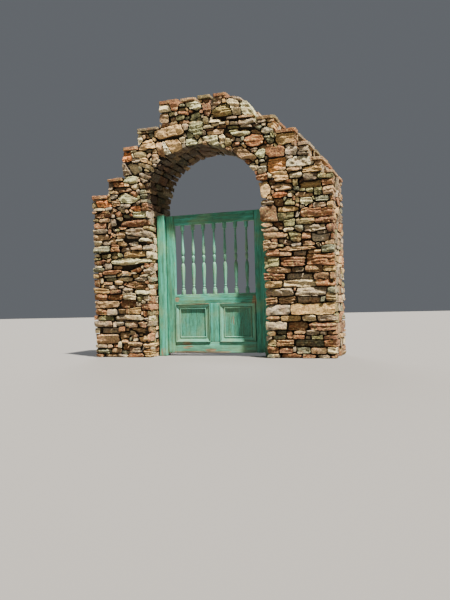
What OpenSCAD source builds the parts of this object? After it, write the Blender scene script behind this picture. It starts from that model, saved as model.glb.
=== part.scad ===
// Round-arched gateway in rubble stone with a timber gate hung between two posts.
// X runs along the wall, Y runs through it from the front face to the back, Z is up.
// The origin lies on the ground, midway between the jambs and midway through the wall.

/* [Wall] */
// Clear width between the two stone jambs
opening_w = 1350; // [1150:10:1600]
// Width of each pier beside the opening
pier_w = 725; // [640:5:900]
// Thickness of the wall from face to face
wall_t = 620; // [460:10:800]
// Height at which the arch springs from the piers
spring_z = 1635; // [1635:5:1900]

/* [Arch ring] */
// Depth of an arch stone from the soffit outwards
ring_d = 240; // [200:5:260]
// Number of arch stones, an odd number so that one is the keystone
ring_count = 15; // [9:2:19]
// How far the keystone stands up past the ring
key_rise = 85; // [40:5:130]
// How far the soffit swells past a true half round on the left and pinches on the right
soffit_swell = 35; // [0:5:45]
// How far the crown of the arch leans to the left, in degrees of the ring
key_lean = 4; // [0:0.5:6]
// How much the widths of the arch stones differ, in degrees of the ring
ring_uneven = 1.4; // [0:0.1:2]
// Dry joint between stones that bear on each other
bed_gap = 0.3; // [0.2:0.1:0.8]

/* [Left steps] */
// Length of the lowest step, at the outer end of the left pier
left_run_1 = 210; // [150:5:240]
// Length of the second step on the left
left_run_2 = 205; // [150:5:230]
// Length of the third step on the left
left_run_3 = 195; // [150:5:220]
// Length of the fourth step on the left
left_run_4 = 270; // [200:5:315]
// Height of the lowest step on the left over the springing
left_rise_1 = 230; // [160:5:270]
// Rise of the second step on the left
left_rise_2 = 185; // [150:5:230]
// Rise of the third step on the left
left_rise_3 = 335; // [280:5:380]
// Rise of the fourth step on the left
left_rise_4 = 195; // [160:5:240]
// Rise of the crown over the fourth step on the left
crown_rise = 270; // [200:5:320]

/* [Right steps] */
// Length of the lowest step, at the outer end of the right pier
right_run_1 = 105; // [80:5:130]
// Length of the second step on the right
right_run_2 = 130; // [100:5:150]
// Length of the third step on the right
right_run_3 = 145; // [110:5:170]
// Length of the fourth step on the right
right_run_4 = 220; // [160:5:240]
// Length of the fifth step on the right
right_run_5 = 210; // [160:5:230]
// Height of the lowest step on the right over the springing
right_rise_1 = 285; // [200:5:320]
// Rise of the second step on the right
right_rise_2 = 140; // [100:5:180]
// Rise of the third step on the right
right_rise_3 = 165; // [120:5:200]
// Rise of the fourth step on the right
right_rise_4 = 155; // [120:5:190]
// Rise of the fifth step on the right
right_rise_5 = 165; // [120:5:200]

/* [Cap slabs] */
// Thickness of the flat slabs that cover the steps
slab_t = 40; // [25:1:60]
// How far a slab stands past the faces of the wall
slab_over = 12; // [5:1:30]
// Number of slabs along the crown
crown_slab_count = 3; // [2:1:5]

/* [Posts] */
// Width of a gate post along the wall
post_w = 90; // [70:1:120]
// How far the post stands out in front of the gate leaf
post_proud = 40; // [10:1:60]
// Height of a gate post
post_h = 1615; // [1400:5:1620]
// Width of the chamfer round the head of a post
post_chamfer = 8; // [3:1:15]

/* [Gate leaf] */
// Distance from the front of the wall to the front of the leaf
leaf_recess = 260; // [150:5:330]
// Thickness of the leaf
leaf_t = 45; // [36:1:60]
// Height of the leaf
leaf_h = 1565; // [1450:5:1570]
// Clearance under the leaf
leaf_clear = 36; // [15:1:40]
// Gap between the hinge stile and its post
hinge_gap = 6; // [5:1:10]
// Gap between the latch stile and its post
latch_gap = 8; // [7:1:12]
// Width of a stile
stile_w = 100; // [80:1:130]
// Height of the bottom rail
bottom_rail_h = 120; // [80:1:150]
// Height of the middle rail
middle_rail_h = 105; // [70:1:130]
// Height of the top rail
top_rail_h = 115; // [70:1:140]
// Width of the muntin between the panels
muntin_w = 115; // [80:1:140]
// Length of a tenon
tenon_l = 60; // [30:1:70]
// Thickness of a tenon
tenon_t = 15; // [10:1:20]
// Shoulder above and below a tenon
tenon_shoulder = 12; // [6:1:20]
// Clearance between a tenon, tongue or peg and its seat
seat_gap = 0.3; // [0.2:0.1:0.5]

/* [Panels] */
// Height of a panel between the rails
panel_h = 434; // [360:2:480]
// Thickness of a panel board
panel_t = 14; // [8:1:18]
// Depth of the groove that holds a panel
groove_d = 11; // [6:1:14]
// Width of the moulding round a panel
moulding_w = 63; // [45:1:80]
// How far the moulding stands proud of the frame
moulding_proud = 10; // [4:1:14]
// Width of the inner bead of the moulding
bead_w = 15; // [8:1:20]

/* [Balusters] */
// Number of balusters
baluster_count = 7; // [7:1:7]
// Radius of the turned foot and head of a baluster
foot_r = 22; // [16:1:26]
// Largest radius of the lower vase
vase_r = 21; // [15:1:25]
// Radius of the narrowest neck
neck_r = 8.5; // [6:0.5:11]
// Length of the turned foot and of the turned head
foot_h = 56; // [40:1:80]
// Radius of the peg at each end
peg_r = 7; // [4:0.5:9]
// Length of the peg at each end
peg_l = 24; // [12:1:40]

/* [Hinges] */
// Height of a hinge
hinge_h = 110; // [80:2:160]
// Outer radius of the knuckles
knuckle_r = 7; // [5.5:0.5:9]
// Radius of the hinge pin
pin_r = 4; // [2:0.5:4.5]
// Running clearance round the pin
pin_fit = 0.05; // [0.02:0.01:0.1]
// Thickness of a hinge leaf
plate_t = 3; // [2:0.5:4]
// Width of a hinge leaf from the pin's axis
plate_w = 46; // [30:1:60]
// Distance from the end of the leaf to the middle of a hinge
hinge_inset = 230; // [150:5:350]

/* [Hidden] */
$fn = 48;

stone_brown = [0.45, 0.36, 0.29];
stone_tan = [0.56, 0.45, 0.34];
stone_grey = [0.48, 0.46, 0.42];
teal_paint = [0.20, 0.49, 0.42];
pale_teal = [0.36, 0.62, 0.54];
rusty_iron = [0.30, 0.19, 0.14];

half_open = opening_w / 2;
half_wall = half_open + pier_w;
ring_in = half_open;
ring_out = ring_in + ring_d;
key_index = (ring_count - 1) / 2;

left_runs = [left_run_1, left_run_2, left_run_3, left_run_4];
left_rises = [left_rise_1, left_rise_2, left_rise_3, left_rise_4];
right_runs = [right_run_1, right_run_2, right_run_3, right_run_4, right_run_5];
right_rises = [right_rise_1, right_rise_2, right_rise_3, right_rise_4, right_rise_5];

// The last step on each side lies on the crown and the others on a haunch
left_last = len(left_runs) - 1;
right_last = len(right_runs) - 1;

function total(list, n) = n < 0 ? 0 : list[n] + total(list, n - 1);

// Distance from the middle of the opening to the outer end of step i, counted from the outer end
function step_end(runs, i) = half_wall - total(runs, i - 1);

function step_top(rises, i) = spring_z + total(rises, i);

// Level of the masonry under the slab of step i
function bed_top(rises, i) = step_top(rises, i) - slab_t;

crown_x = step_end(left_runs, left_last + 1);
crown_z = step_top(left_rises, left_last) + crown_rise;
shoulder_r = crown_z - slab_t - bed_top(right_rises, right_last);
shoulder_x = step_end(right_runs, right_last + 1) - shoulder_r;

leaf_y = -wall_t / 2 + leaf_recess;
leaf_back = leaf_y + leaf_t;
leaf_x0 = -half_open + post_w + hinge_gap;
leaf_x1 = half_open - post_w - latch_gap;
leaf_z0 = leaf_clear;
leaf_z1 = leaf_clear + leaf_h;
inner_x0 = leaf_x0 + stile_w;
inner_x1 = leaf_x1 - stile_w;
inner_w = inner_x1 - inner_x0;
panel_z0 = leaf_z0 + bottom_rail_h;
panel_z1 = panel_z0 + panel_h;
middle_z1 = panel_z1 + middle_rail_h;
top_rail_z0 = leaf_z1 - top_rail_h;
panel_w = (inner_w - muntin_w) / 2;
muntin_x0 = inner_x0 + panel_w;
leaf_mid_y = leaf_y + leaf_t / 2;
baluster_h = top_rail_z0 - middle_z1;
baluster_pitch = inner_w / (baluster_count + 0.5);

knuckle_back = 1;
hinge_x = (leaf_x0 - half_open + post_w) / 2;
hinge_y = leaf_back + knuckle_r + knuckle_back;
knuckle_gap = 0.5;
knuckle_h = hinge_h / 3;
lower_hinge_z = leaf_z0 + hinge_inset;
upper_hinge_z = leaf_z1 - hinge_inset;

// A flat outline in X and Z, carried through the wall
module through_wall() {
    rotate([90, 0, 0]) translate([0, 0, -wall_t / 2]) linear_extrude(wall_t) children();
}

module pier() {
    translate([half_open, -wall_t / 2, 0]) cube([pier_w, wall_t, spring_z]);
}

// Masonry between a pier and the crown, stepped outside and round inside, drawn for the right
module haunch(runs, rises) {
    steps = len(runs) - 1;
    stepped = [for (i = [0 : steps - 1], k = [0, 1]) [step_end(runs, i + k), bed_top(rises, i)]];
    through_wall() difference() {
        polygon(concat([[0, spring_z], [half_wall, spring_z]], stepped, [[0, bed_top(rises, steps - 1)]]));
        ring_hollow();
    }
}

// The round underside of the masonry that bears on the arch ring
module ring_hollow() {
    translate([0, spring_z]) circle(ring_out + bed_gap, $fn = 180);
}

// The crown has a square shoulder on the left and a round one on the right
module crown_wall() {
    left_bed = bed_top(left_rises, left_last - 1);
    right_bed = bed_top(right_rises, right_last - 1);
    left_end = step_end(left_runs, left_last);
    right_end = step_end(right_runs, right_last);
    shoulder_bed = bed_top(right_rises, right_last);
    color(stone_grey) through_wall() difference() {
        union() {
            translate([-left_end, left_bed])
                square([left_end, bed_top(left_rises, left_last) - left_bed]);
            translate([0, right_bed])
                square([right_end, shoulder_bed - right_bed]);
            translate([-crown_x, left_bed])
                square([crown_x, crown_z - slab_t - left_bed]);
            translate([0, right_bed])
                square([shoulder_x, crown_z - slab_t - right_bed]);
            intersection() {
                translate([shoulder_x, shoulder_bed]) circle(shoulder_r, $fn = 96);
                translate([shoulder_x - 1, shoulder_bed - 1]) square(shoulder_r + 2);
            }
        }
        ring_hollow();
        arch_stone_outline(key_index, key_rise + bed_gap, -bed_gap / 2);
    }
}

// Angle of joint i of the ring over the right springing
function ring_angle(i) = i * 180 / ring_count + key_lean * sin(i * 180 / ring_count)
    + (i > 0 && i < ring_count ? ring_uneven * sin(137 * i) : 0);

function ring_point(radius, angle, side) =
    [radius * cos(angle) - side * sin(angle), spring_z + radius * sin(angle) + side * cos(angle)];

// Radius of the soffit at an angle over the right springing
function soffit_r(angle) = ring_in - soffit_swell * sin(2 * angle);

// Wedge number i, counted from the right springing; side_gap is taken off each flank
module arch_stone_outline(i, rise = 0, side_gap = bed_gap / 2) {
    polygon([ring_point(soffit_r(ring_angle(i)), ring_angle(i), side_gap),
        ring_point(ring_out + rise, ring_angle(i), side_gap),
        ring_point(ring_out + rise, ring_angle(i + 1), -side_gap),
        ring_point(soffit_r(ring_angle(i + 1)), ring_angle(i + 1), -side_gap)]);
}

module arch_stones(first, last) {
    for (i = [first : last])
        through_wall() arch_stone_outline(i);
}

module left_arch_stones() color(stone_tan) arch_stones(key_index + 1, ring_count - 1);

module keystone() color(stone_grey) through_wall() arch_stone_outline(key_index, key_rise);

module right_arch_stones() color(stone_tan) arch_stones(0, key_index - 1);

// One cap slab from x0 to x1 with its top at z
module slab(x0, x1, z) {
    translate([x0, -wall_t / 2 - slab_over, z - slab_t])
        cube([x1 - x0, wall_t + 2 * slab_over, slab_t]);
}

// One slab on each step, tucked against the riser behind it, drawn for the right
module step_slabs(runs, rises) {
    for (i = [0 : len(runs) - 1])
        slab(step_end(runs, i + 1) + bed_gap, step_end(runs, i) + slab_over, step_top(rises, i));
}

module left_step_slabs() color(stone_grey) mirror([1, 0, 0]) step_slabs(left_runs, left_rises);

module right_step_slabs() color(stone_grey) step_slabs(right_runs, right_rises);

module crown_slabs() {
    run = (shoulder_x + crown_x + slab_over) / crown_slab_count;
    color(stone_tan)
        for (i = [0 : crown_slab_count - 1])
            slab(-crown_x - slab_over + i * run, -crown_x - slab_over + (i + 1) * run - bed_gap, crown_z);
}

module post_shape() {
    depth = post_proud + leaf_t;
    core = post_w - 2 * post_chamfer;
    translate([half_open - post_w, leaf_y - post_proud, 0]) {
        cube([post_w, depth, post_h - post_chamfer]);
        translate([post_chamfer, post_chamfer, 0]) cube([core, depth - 2 * post_chamfer, post_h]);
    }
}

module rail_tenon(x, direction, z, h) {
    length = tenon_l - seat_gap;
    translate([direction > 0 ? x - 1 : x - length, leaf_mid_y - tenon_t / 2, z + tenon_shoulder])
        cube([length + 1, tenon_t, h - 2 * tenon_shoulder]);
}

module mortise(x, z, h) {
    translate([x, leaf_mid_y - tenon_t / 2 - seat_gap, z + tenon_shoulder - seat_gap])
        cube([tenon_l + 1, tenon_t + 2 * seat_gap, h - 2 * tenon_shoulder + 2 * seat_gap]);
}

// A stile from x0, with its inner edge on the side that inner names
module stile(x0, inner) {
    pocket_x = inner > 0 ? x0 + stile_w - tenon_l : x0 - 1;
    groove_x = inner > 0 ? x0 + stile_w - groove_d : x0 - 1;
    difference() {
        translate([x0, leaf_y, leaf_z0]) cube([stile_w, leaf_t, leaf_h]);
        mortise(pocket_x, leaf_z0, bottom_rail_h);
        mortise(pocket_x, panel_z1, middle_rail_h);
        mortise(pocket_x, top_rail_z0, top_rail_h);
        translate([groove_x, leaf_mid_y - panel_t / 2 - seat_gap, panel_z0 - groove_d])
            cube([groove_d + 1, panel_t + 2 * seat_gap, panel_h + 2 * groove_d]);
    }
}

module hinge_stile() color(teal_paint) stile(leaf_x0, 1);

module latch_stile() color(teal_paint) stile(inner_x1, -1);

module rail(z, h) {
    translate([inner_x0, leaf_y, z]) cube([inner_w, leaf_t, h]);
    rail_tenon(inner_x0 + 1, -1, z, h);
    rail_tenon(inner_x1, 1, z, h);
}

// Groove along a rail for the edges of both panels
module rail_groove(z) {
    translate([inner_x0 - 1, leaf_mid_y - panel_t / 2 - seat_gap, z])
        cube([inner_w + 2, panel_t + 2 * seat_gap, groove_d + 1]);
}

function baluster_x(i) = inner_x0 + (i + 0.25) * baluster_pitch;

module peg_holes(z) {
    for (i = [1 : baluster_count])
        translate([baluster_x(i - 0.5), leaf_mid_y, z]) cylinder(r = peg_r + seat_gap, h = peg_l + 1);
}

module top_rail() color(teal_paint) difference() {
    rail(top_rail_z0, top_rail_h);
    peg_holes(top_rail_z0 - 1);
}

module middle_rail() color(teal_paint) difference() {
    rail(panel_z1, middle_rail_h);
    rail_groove(panel_z1 - 1);
    peg_holes(middle_z1 - peg_l);
}

module bottom_rail() color(teal_paint) difference() {
    rail(leaf_z0, bottom_rail_h);
    rail_groove(panel_z0 - groove_d);
}

// The muntin's stub tongues sit in the grooves of both rails, between the two panels
module muntin() color(teal_paint) difference() {
    reach = groove_d - seat_gap;
    union() {
        translate([muntin_x0, leaf_y, panel_z0]) cube([muntin_w, leaf_t, panel_h]);
        translate([muntin_x0 + groove_d, leaf_mid_y - panel_t / 2, panel_z0 - reach])
            cube([muntin_w - 2 * groove_d, panel_t, panel_h + 2 * reach]);
    }
    for (x = [muntin_x0 - 1, muntin_x0 + muntin_w - groove_d])
        translate([x, leaf_mid_y - panel_t / 2 - seat_gap, panel_z0 - 1])
            cube([groove_d + 1, panel_t + 2 * seat_gap, panel_h + 2]);
}

// A flat board whose edges sit in the grooves round it
module panel(x0) {
    reach = groove_d - seat_gap;
    translate([x0 - reach, leaf_mid_y - panel_t / 2, panel_z0 - reach])
        cube([panel_w + 2 * reach, panel_t, panel_h + 2 * reach]);
}

// Section of the moulding: X runs from the frame inwards, Y from the panel outwards
module moulding_section() {
    face = (leaf_t - panel_t) / 2;
    top = face + moulding_proud;
    fillet_w = 8;
    groove_floor = 6;
    bead_top = face - 2;
    slope_end = moulding_w - bead_w;
    polygon([[seat_gap, seat_gap], [seat_gap, top], [fillet_w, top],
        [slope_end - 3, groove_floor], [slope_end, groove_floor],
        [slope_end + 2, bead_top], [moulding_w - 3, bead_top], [moulding_w, bead_top - 5],
        [moulding_w, seat_gap]]);
}

// One length of moulding along X, cut to a mitre at both ends
module moulding_length(length) {
    cut = 2 * moulding_w;
    mitre_gap = seat_gap / sqrt(2);
    difference() {
        rotate([90, 0, 90]) linear_extrude(length) moulding_section();
        translate([mitre_gap, 0, -1]) rotate([0, 0, -45]) translate([-cut, -cut, 0]) cube([cut, 3 * cut, cut]);
        translate([length - mitre_gap, 0, -1]) rotate([0, 0, 45]) translate([0, -cut, 0])
            cube([cut, 3 * cut, cut]);
    }
}

// Four mitred lengths round a panel on the front, and the same on the back
module mouldings(x0) {
    for (side = [-1, 1])
        translate([x0, leaf_mid_y + side * panel_t / 2, panel_z0]) mirror([0, side > 0 ? 1 : 0, 0])
            rotate([90, 0, 0]) {
                moulding_length(panel_w);
                translate([panel_w, panel_h, 0]) rotate(180) moulding_length(panel_w);
                translate([panel_w, 0, 0]) rotate(90) moulding_length(panel_h);
                translate([0, panel_h, 0]) rotate(-90) moulding_length(panel_h);
            }
}

function eased(a, b, t) = a + (b - a) * (1 - cos(180 * t)) / 2;

// Heights and radii where the turned outline changes, from the foot to the head
turned_keys = [[0, foot_r - 2], [foot_h / 2, foot_r], [foot_h, foot_r - 2], [foot_h + 4, neck_r + 2],
    [foot_h + 12, neck_r + 7], [foot_h + 22, neck_r + 1], [foot_h + 38, neck_r + 5], [foot_h + 50, neck_r + 2.5],
    [baluster_h * 0.38, vase_r], [baluster_h * 0.455, neck_r], [baluster_h * 0.53, vase_r - 4],
    [baluster_h * 0.56, neck_r], [baluster_h * 0.61, vase_r - 4.5],
    [baluster_h - foot_h - 26, neck_r + 0.5], [baluster_h - foot_h - 15, neck_r + 5],
    [baluster_h - foot_h - 5, neck_r + 1], [baluster_h - foot_h, foot_r - 2],
    [baluster_h - foot_h / 2, foot_r], [baluster_h, foot_r - 2]];
turned_steps = 3;

// A baluster turned in one piece, with a peg at each end
module baluster(i) {
    outline = [for (k = [0 : len(turned_keys) - 2], s = [0 : turned_steps - 1])
        [eased(turned_keys[k][1], turned_keys[k + 1][1], s / turned_steps),
            turned_keys[k][0] + (turned_keys[k + 1][0] - turned_keys[k][0]) * s / turned_steps]];
    last = turned_keys[len(turned_keys) - 1];
    reach = peg_l - seat_gap;
    color(pale_teal) translate([baluster_x(i - 0.5), leaf_mid_y, middle_z1]) {
        rotate_extrude($fn = 28) polygon(concat([[0, 0]], outline, [[last[1], last[0]], [0, last[0]]]));
        translate([0, 0, -reach]) cylinder(r = peg_r, h = reach + 1);
        translate([0, 0, baluster_h - 1]) cylinder(r = peg_r, h = reach + 1);
    }
}

// Knuckle number k of three, counted from the bottom of a hinge
module knuckle(k) {
    translate([0, 0, k * knuckle_h + knuckle_gap / 2]) cylinder(r = knuckle_r, h = knuckle_h - knuckle_gap);
}

// A hinge leaf to the side that direction names, with the knuckles in the list
module hinge_leaf(z, direction, knuckles) {
    plate_y = -knuckle_r - knuckle_back;
    clear_x = knuckle_r + 1;
    translate([hinge_x, hinge_y, z - hinge_h / 2]) difference() {
        union() {
            translate([direction > 0 ? clear_x : -plate_w, plate_y, knuckle_gap / 2])
                cube([plate_w - clear_x, plate_t, hinge_h - knuckle_gap]);
            for (k = knuckles) {
                knuckle(k);
                translate([direction > 0 ? 0 : -clear_x - 1, plate_y, k * knuckle_h + knuckle_gap / 2])
                    cube([clear_x + 1, plate_t, knuckle_h - knuckle_gap]);
            }
        }
        translate([0, 0, -1]) cylinder(r = pin_r + pin_fit, h = hinge_h + 2);
    }
}

// The pin hangs by its head on the top knuckle
module hinge_pin(z) {
    head_h = 4;
    translate([hinge_x, hinge_y, z - hinge_h / 2]) {
        cylinder(r = pin_r, h = hinge_h);
        translate([0, 0, hinge_h - knuckle_gap / 2]) cylinder(r = knuckle_r - 0.5, h = head_h);
    }
}

color(stone_brown) mirror([1, 0, 0]) pier();  // left_pier
color(stone_brown) pier();  // right_pier
color(stone_tan) mirror([1, 0, 0]) haunch(left_runs, left_rises);  // left_haunch
color(stone_tan) haunch(right_runs, right_rises);  // right_haunch
crown_wall();
left_arch_stones();
keystone();
right_arch_stones();
left_step_slabs();
right_step_slabs();
crown_slabs();
color(teal_paint) mirror([1, 0, 0]) post_shape();  // left_post
color(teal_paint) post_shape();  // right_post
hinge_stile();
latch_stile();
top_rail();
middle_rail();
bottom_rail();
muntin();
color(pale_teal) panel(inner_x0);  // left_panel
color(pale_teal) panel(muntin_x0 + muntin_w);  // right_panel
color(pale_teal) mouldings(inner_x0);  // left_mouldings
color(pale_teal) mouldings(muntin_x0 + muntin_w);  // right_mouldings
baluster(1);  // baluster_1
baluster(2);  // baluster_2
baluster(3);  // baluster_3
baluster(4);  // baluster_4
baluster(5);  // baluster_5
baluster(6);  // baluster_6
baluster(7);  // baluster_7
color(rusty_iron) hinge_leaf(lower_hinge_z, -1, [0, 2]);  // lower_hinge_fixed_leaf
color(rusty_iron) hinge_leaf(lower_hinge_z, 1, [1]);  // lower_hinge_gate_leaf
color(rusty_iron) hinge_pin(lower_hinge_z);  // lower_hinge_pin
color(rusty_iron) hinge_leaf(upper_hinge_z, -1, [0, 2]);  // upper_hinge_fixed_leaf
color(rusty_iron) hinge_leaf(upper_hinge_z, 1, [1]);  // upper_hinge_gate_leaf
color(rusty_iron) hinge_pin(upper_hinge_z);  // upper_hinge_pin
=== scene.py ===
# Round-arched gateway in rubble stone, with a timber gate between two posts.
# X runs along the wall, Y from the front face to the back, Z up, in metres.
import math
import bmesh
import bpy
import numpy as np
from mathutils import Matrix, Vector


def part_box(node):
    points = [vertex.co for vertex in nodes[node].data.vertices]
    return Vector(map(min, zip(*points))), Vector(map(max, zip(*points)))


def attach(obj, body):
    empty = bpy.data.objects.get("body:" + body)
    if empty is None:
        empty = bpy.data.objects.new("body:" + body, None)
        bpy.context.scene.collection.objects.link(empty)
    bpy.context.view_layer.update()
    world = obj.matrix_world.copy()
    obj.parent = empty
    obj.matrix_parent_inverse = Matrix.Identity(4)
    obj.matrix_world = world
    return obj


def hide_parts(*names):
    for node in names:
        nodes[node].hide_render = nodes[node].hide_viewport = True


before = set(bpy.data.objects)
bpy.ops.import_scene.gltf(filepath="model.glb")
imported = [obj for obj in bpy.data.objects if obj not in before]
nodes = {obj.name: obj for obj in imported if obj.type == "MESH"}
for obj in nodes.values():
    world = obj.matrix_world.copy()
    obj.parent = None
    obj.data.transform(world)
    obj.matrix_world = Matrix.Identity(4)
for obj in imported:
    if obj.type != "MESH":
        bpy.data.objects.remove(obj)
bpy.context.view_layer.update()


# The view: a low camera out to the right of the gate, turned a little towards it.
# Soft light from high on the right, over a plain pale floor.
LENS, SENSOR = 37.2, 36.0
EYE = Vector((2.452, -6.533, 0.553))
YAW, LIFT, ROLL = 0.345, 0.010, -0.024
camera_data = bpy.data.cameras.new("camera")
camera_data.lens, camera_data.sensor_width = LENS, SENSOR
camera = bpy.data.objects.new("camera", camera_data)
camera.matrix_world = (Matrix.Translation(EYE) @ Matrix.Rotation(YAW, 4, "Z")
                       @ Matrix.Rotation(math.pi / 2 + LIFT, 4, "X") @ Matrix.Rotation(ROLL, 4, "Z"))
bpy.context.scene.collection.objects.link(camera)
bpy.context.scene.camera = camera

KEY_AZIMUTH, KEY_HEIGHT = math.radians(56.6), math.radians(63.9)
for name, azimuth, height, strength, width, tint in (
        ("key", KEY_AZIMUTH, KEY_HEIGHT, 21.0, 2.5, (1.0, 0.955, 0.88)),
        ("back light", math.radians(205), math.radians(38), 2.2, 20, (0.90, 0.94, 1.0))):
    lamp_data = bpy.data.lights.new(name, "SUN")
    lamp_data.energy, lamp_data.angle, lamp_data.color = strength, math.radians(width), tint
    lamp = bpy.data.objects.new(name, lamp_data)
    towards = Vector((math.sin(azimuth) * math.cos(height), -math.cos(azimuth) * math.cos(height),
                      math.sin(height)))
    lamp.rotation_mode = "QUATERNION"
    lamp.rotation_quaternion = towards.to_track_quat("Z", "Y")
    bpy.context.scene.collection.objects.link(lamp)

studio = bpy.data.worlds.new("studio")
studio.use_nodes = True
studio.node_tree.nodes["Background"].inputs["Color"].default_value = (0.80, 0.86, 0.95, 1)
studio.node_tree.nodes["Background"].inputs["Strength"].default_value = 0.16
bpy.context.scene.world = studio

# The floor: a plain, pale, matt plane under everything, no part of the gateway itself.
# Its finish is the first one, so what writes the nodes of a finish stands here.


class Sock:
    """A shader socket that takes part in sums; each sum adds its Math node."""
    def __init__(self, tree, link):
        self.tree, self.link = tree, link

    def math(self, what, a, b):
        node = self.tree.nodes.new("ShaderNodeMath")
        node.operation = what
        for slot, value in zip(node.inputs, (a, b)):
            if isinstance(value, Sock):
                self.tree.links.new(value.link, slot)
            else:
                slot.default_value = value
        return Sock(self.tree, node.outputs[0])

    def __add__(self, other):
        return self.math("ADD", self, other)

    def __radd__(self, other):
        return self.math("ADD", other, self)

    def __sub__(self, other):
        return self.math("SUBTRACT", self, other)

    def __rsub__(self, other):
        return self.math("SUBTRACT", other, self)

    def __mul__(self, other):
        return self.math("MULTIPLY", self, other)

    def __rmul__(self, other):
        return self.math("MULTIPLY", other, self)

    def least(self, other):
        return self.math("MINIMUM", self, other)


class Finish:
    """A material under construction, with one method for every kind of node."""
    def __init__(self, name):
        self.material = bpy.data.materials.new(name)
        self.material.use_nodes = True
        self.tree = self.material.node_tree
        self.shader = self.tree.nodes["Principled BSDF"]

    def node(self, kind, settings=None, out=0, **sockets):
        node = self.tree.nodes.new("ShaderNode" + kind)
        settings = dict(settings or {})
        stops = settings.pop("stops", None)
        for name, value in settings.items():
            setattr(node, name, value)
        if stops:
            while len(node.color_ramp.elements) < len(stops):
                node.color_ramp.elements.new(0.5)
            for element, (place, colour) in zip(node.color_ramp.elements, stops):
                element.position, element.color = place, colour
        for name, value in sockets.items():
            slot = node.inputs[int(name[1:])] if name[1:].isdigit() else node.inputs[name.replace("_", " ")]
            self.feed(slot, value)
        return Sock(self.tree, node.outputs[out])

    def feed(self, slot, value):
        if isinstance(value, Sock):
            self.tree.links.new(value.link, slot)
        else:
            slot.default_value = value

    def noise(self, where, scale, detail, rough=0.55):
        return self.node("TexNoise", Vector=where, Scale=scale, Detail=detail, Roughness=rough)

    def step(self, value, low, high):
        """0 below low, 1 above high, smooth between."""
        return self.node("MapRange", {"interpolation_type": "SMOOTHSTEP"}, Value=value,
                         From_Min=low, From_Max=high, To_Min=0.0, To_Max=1.0)

    def blend(self, amount, a, b, how="MIX"):
        mix = self.tree.nodes.new("ShaderNodeMix")
        mix.data_type, mix.blend_type = "RGBA", how
        for slot, value in zip((mix.inputs[0], mix.inputs[6], mix.inputs[7]), (amount, a, b)):
            self.feed(slot, value)
        return Sock(self.tree, mix.outputs[2])

    def done(self, colour, roughness, height=None, depth=0.003, strength=1.0):
        self.feed(self.shader.inputs["Base Color"], colour)
        self.feed(self.shader.inputs["Roughness"], roughness)
        if height is not None:
            bump = self.node("Bump", Height=height, Distance=depth, Strength=strength)
            self.feed(self.shader.inputs["Normal"], bump)
        return self.material


def paint_chip(red, green, blue):
    """A linear colour from a chip as the eye reads it, each part from 0 to 1."""
    linear = [c / 12.92 if c <= 0.04045 else ((c + 0.055) / 1.055) ** 2.4 for c in (red, green, blue)]
    return (*linear, 1.0)


floor_finish = Finish("pale floor")
floor_finish.done(paint_chip(0.40, 0.39, 0.375), 0.9)
floor_mesh = bpy.data.meshes.new("floor")
FLOOR_HALF = 30.0
floor_mesh.from_pydata([(-FLOOR_HALF, -FLOOR_HALF, 0), (FLOOR_HALF, -FLOOR_HALF, 0),
                        (FLOOR_HALF, FLOOR_HALF, 0), (-FLOOR_HALF, FLOOR_HALF, 0)], [], [(0, 1, 2, 3)])
floor_mesh.materials.append(floor_finish.material)
floor = bpy.data.objects.new("floor", floor_mesh)
bpy.context.scene.collection.objects.link(floor)


# The masonry: rubble stones laid in rough courses, hardly any mortar showing, in deep open joints.
# The list gives each large stone of the front face: its tone, then its corners (x z) in centimetres;
# a deep one is a hollow where a stone or its mortar has gone.
TONES = {
    "cream": (0.82, 0.75, 0.60), "white": (0.82, 0.78, 0.67), "palegreen": (0.68, 0.68, 0.52),
    "creamgreen": (0.76, 0.74, 0.58), "greycream": (0.68, 0.62, 0.54), "greytan": (0.58, 0.50, 0.42),
    "greygreen": (0.42, 0.43, 0.35), "mossgrey": (0.46, 0.47, 0.34), "olive": (0.44, 0.38, 0.24),
    "oliveyellow": (0.55, 0.48, 0.28), "mossy": (0.44, 0.43, 0.27), "greybrown": (0.42, 0.35, 0.29),
    "brown": (0.45, 0.30, 0.18), "rustbrown": (0.52, 0.31, 0.17), "rust": (0.64, 0.34, 0.15),
    "redbrown": (0.42, 0.24, 0.15), "orange": (0.78, 0.45, 0.22), "apricot": (0.98, 0.68, 0.40),
    "deeprust": (0.50, 0.27, 0.11), "ochre": (0.66, 0.52, 0.32), "creamochre": (0.82, 0.66, 0.46),
    "tan": (0.62, 0.48, 0.34), "pinktan": (0.64, 0.50, 0.37), "pinkgrey": (0.57, 0.50, 0.42),
    "pinkcream": (0.80, 0.72, 0.57), "rustpink": (0.60, 0.39, 0.26)}
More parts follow.
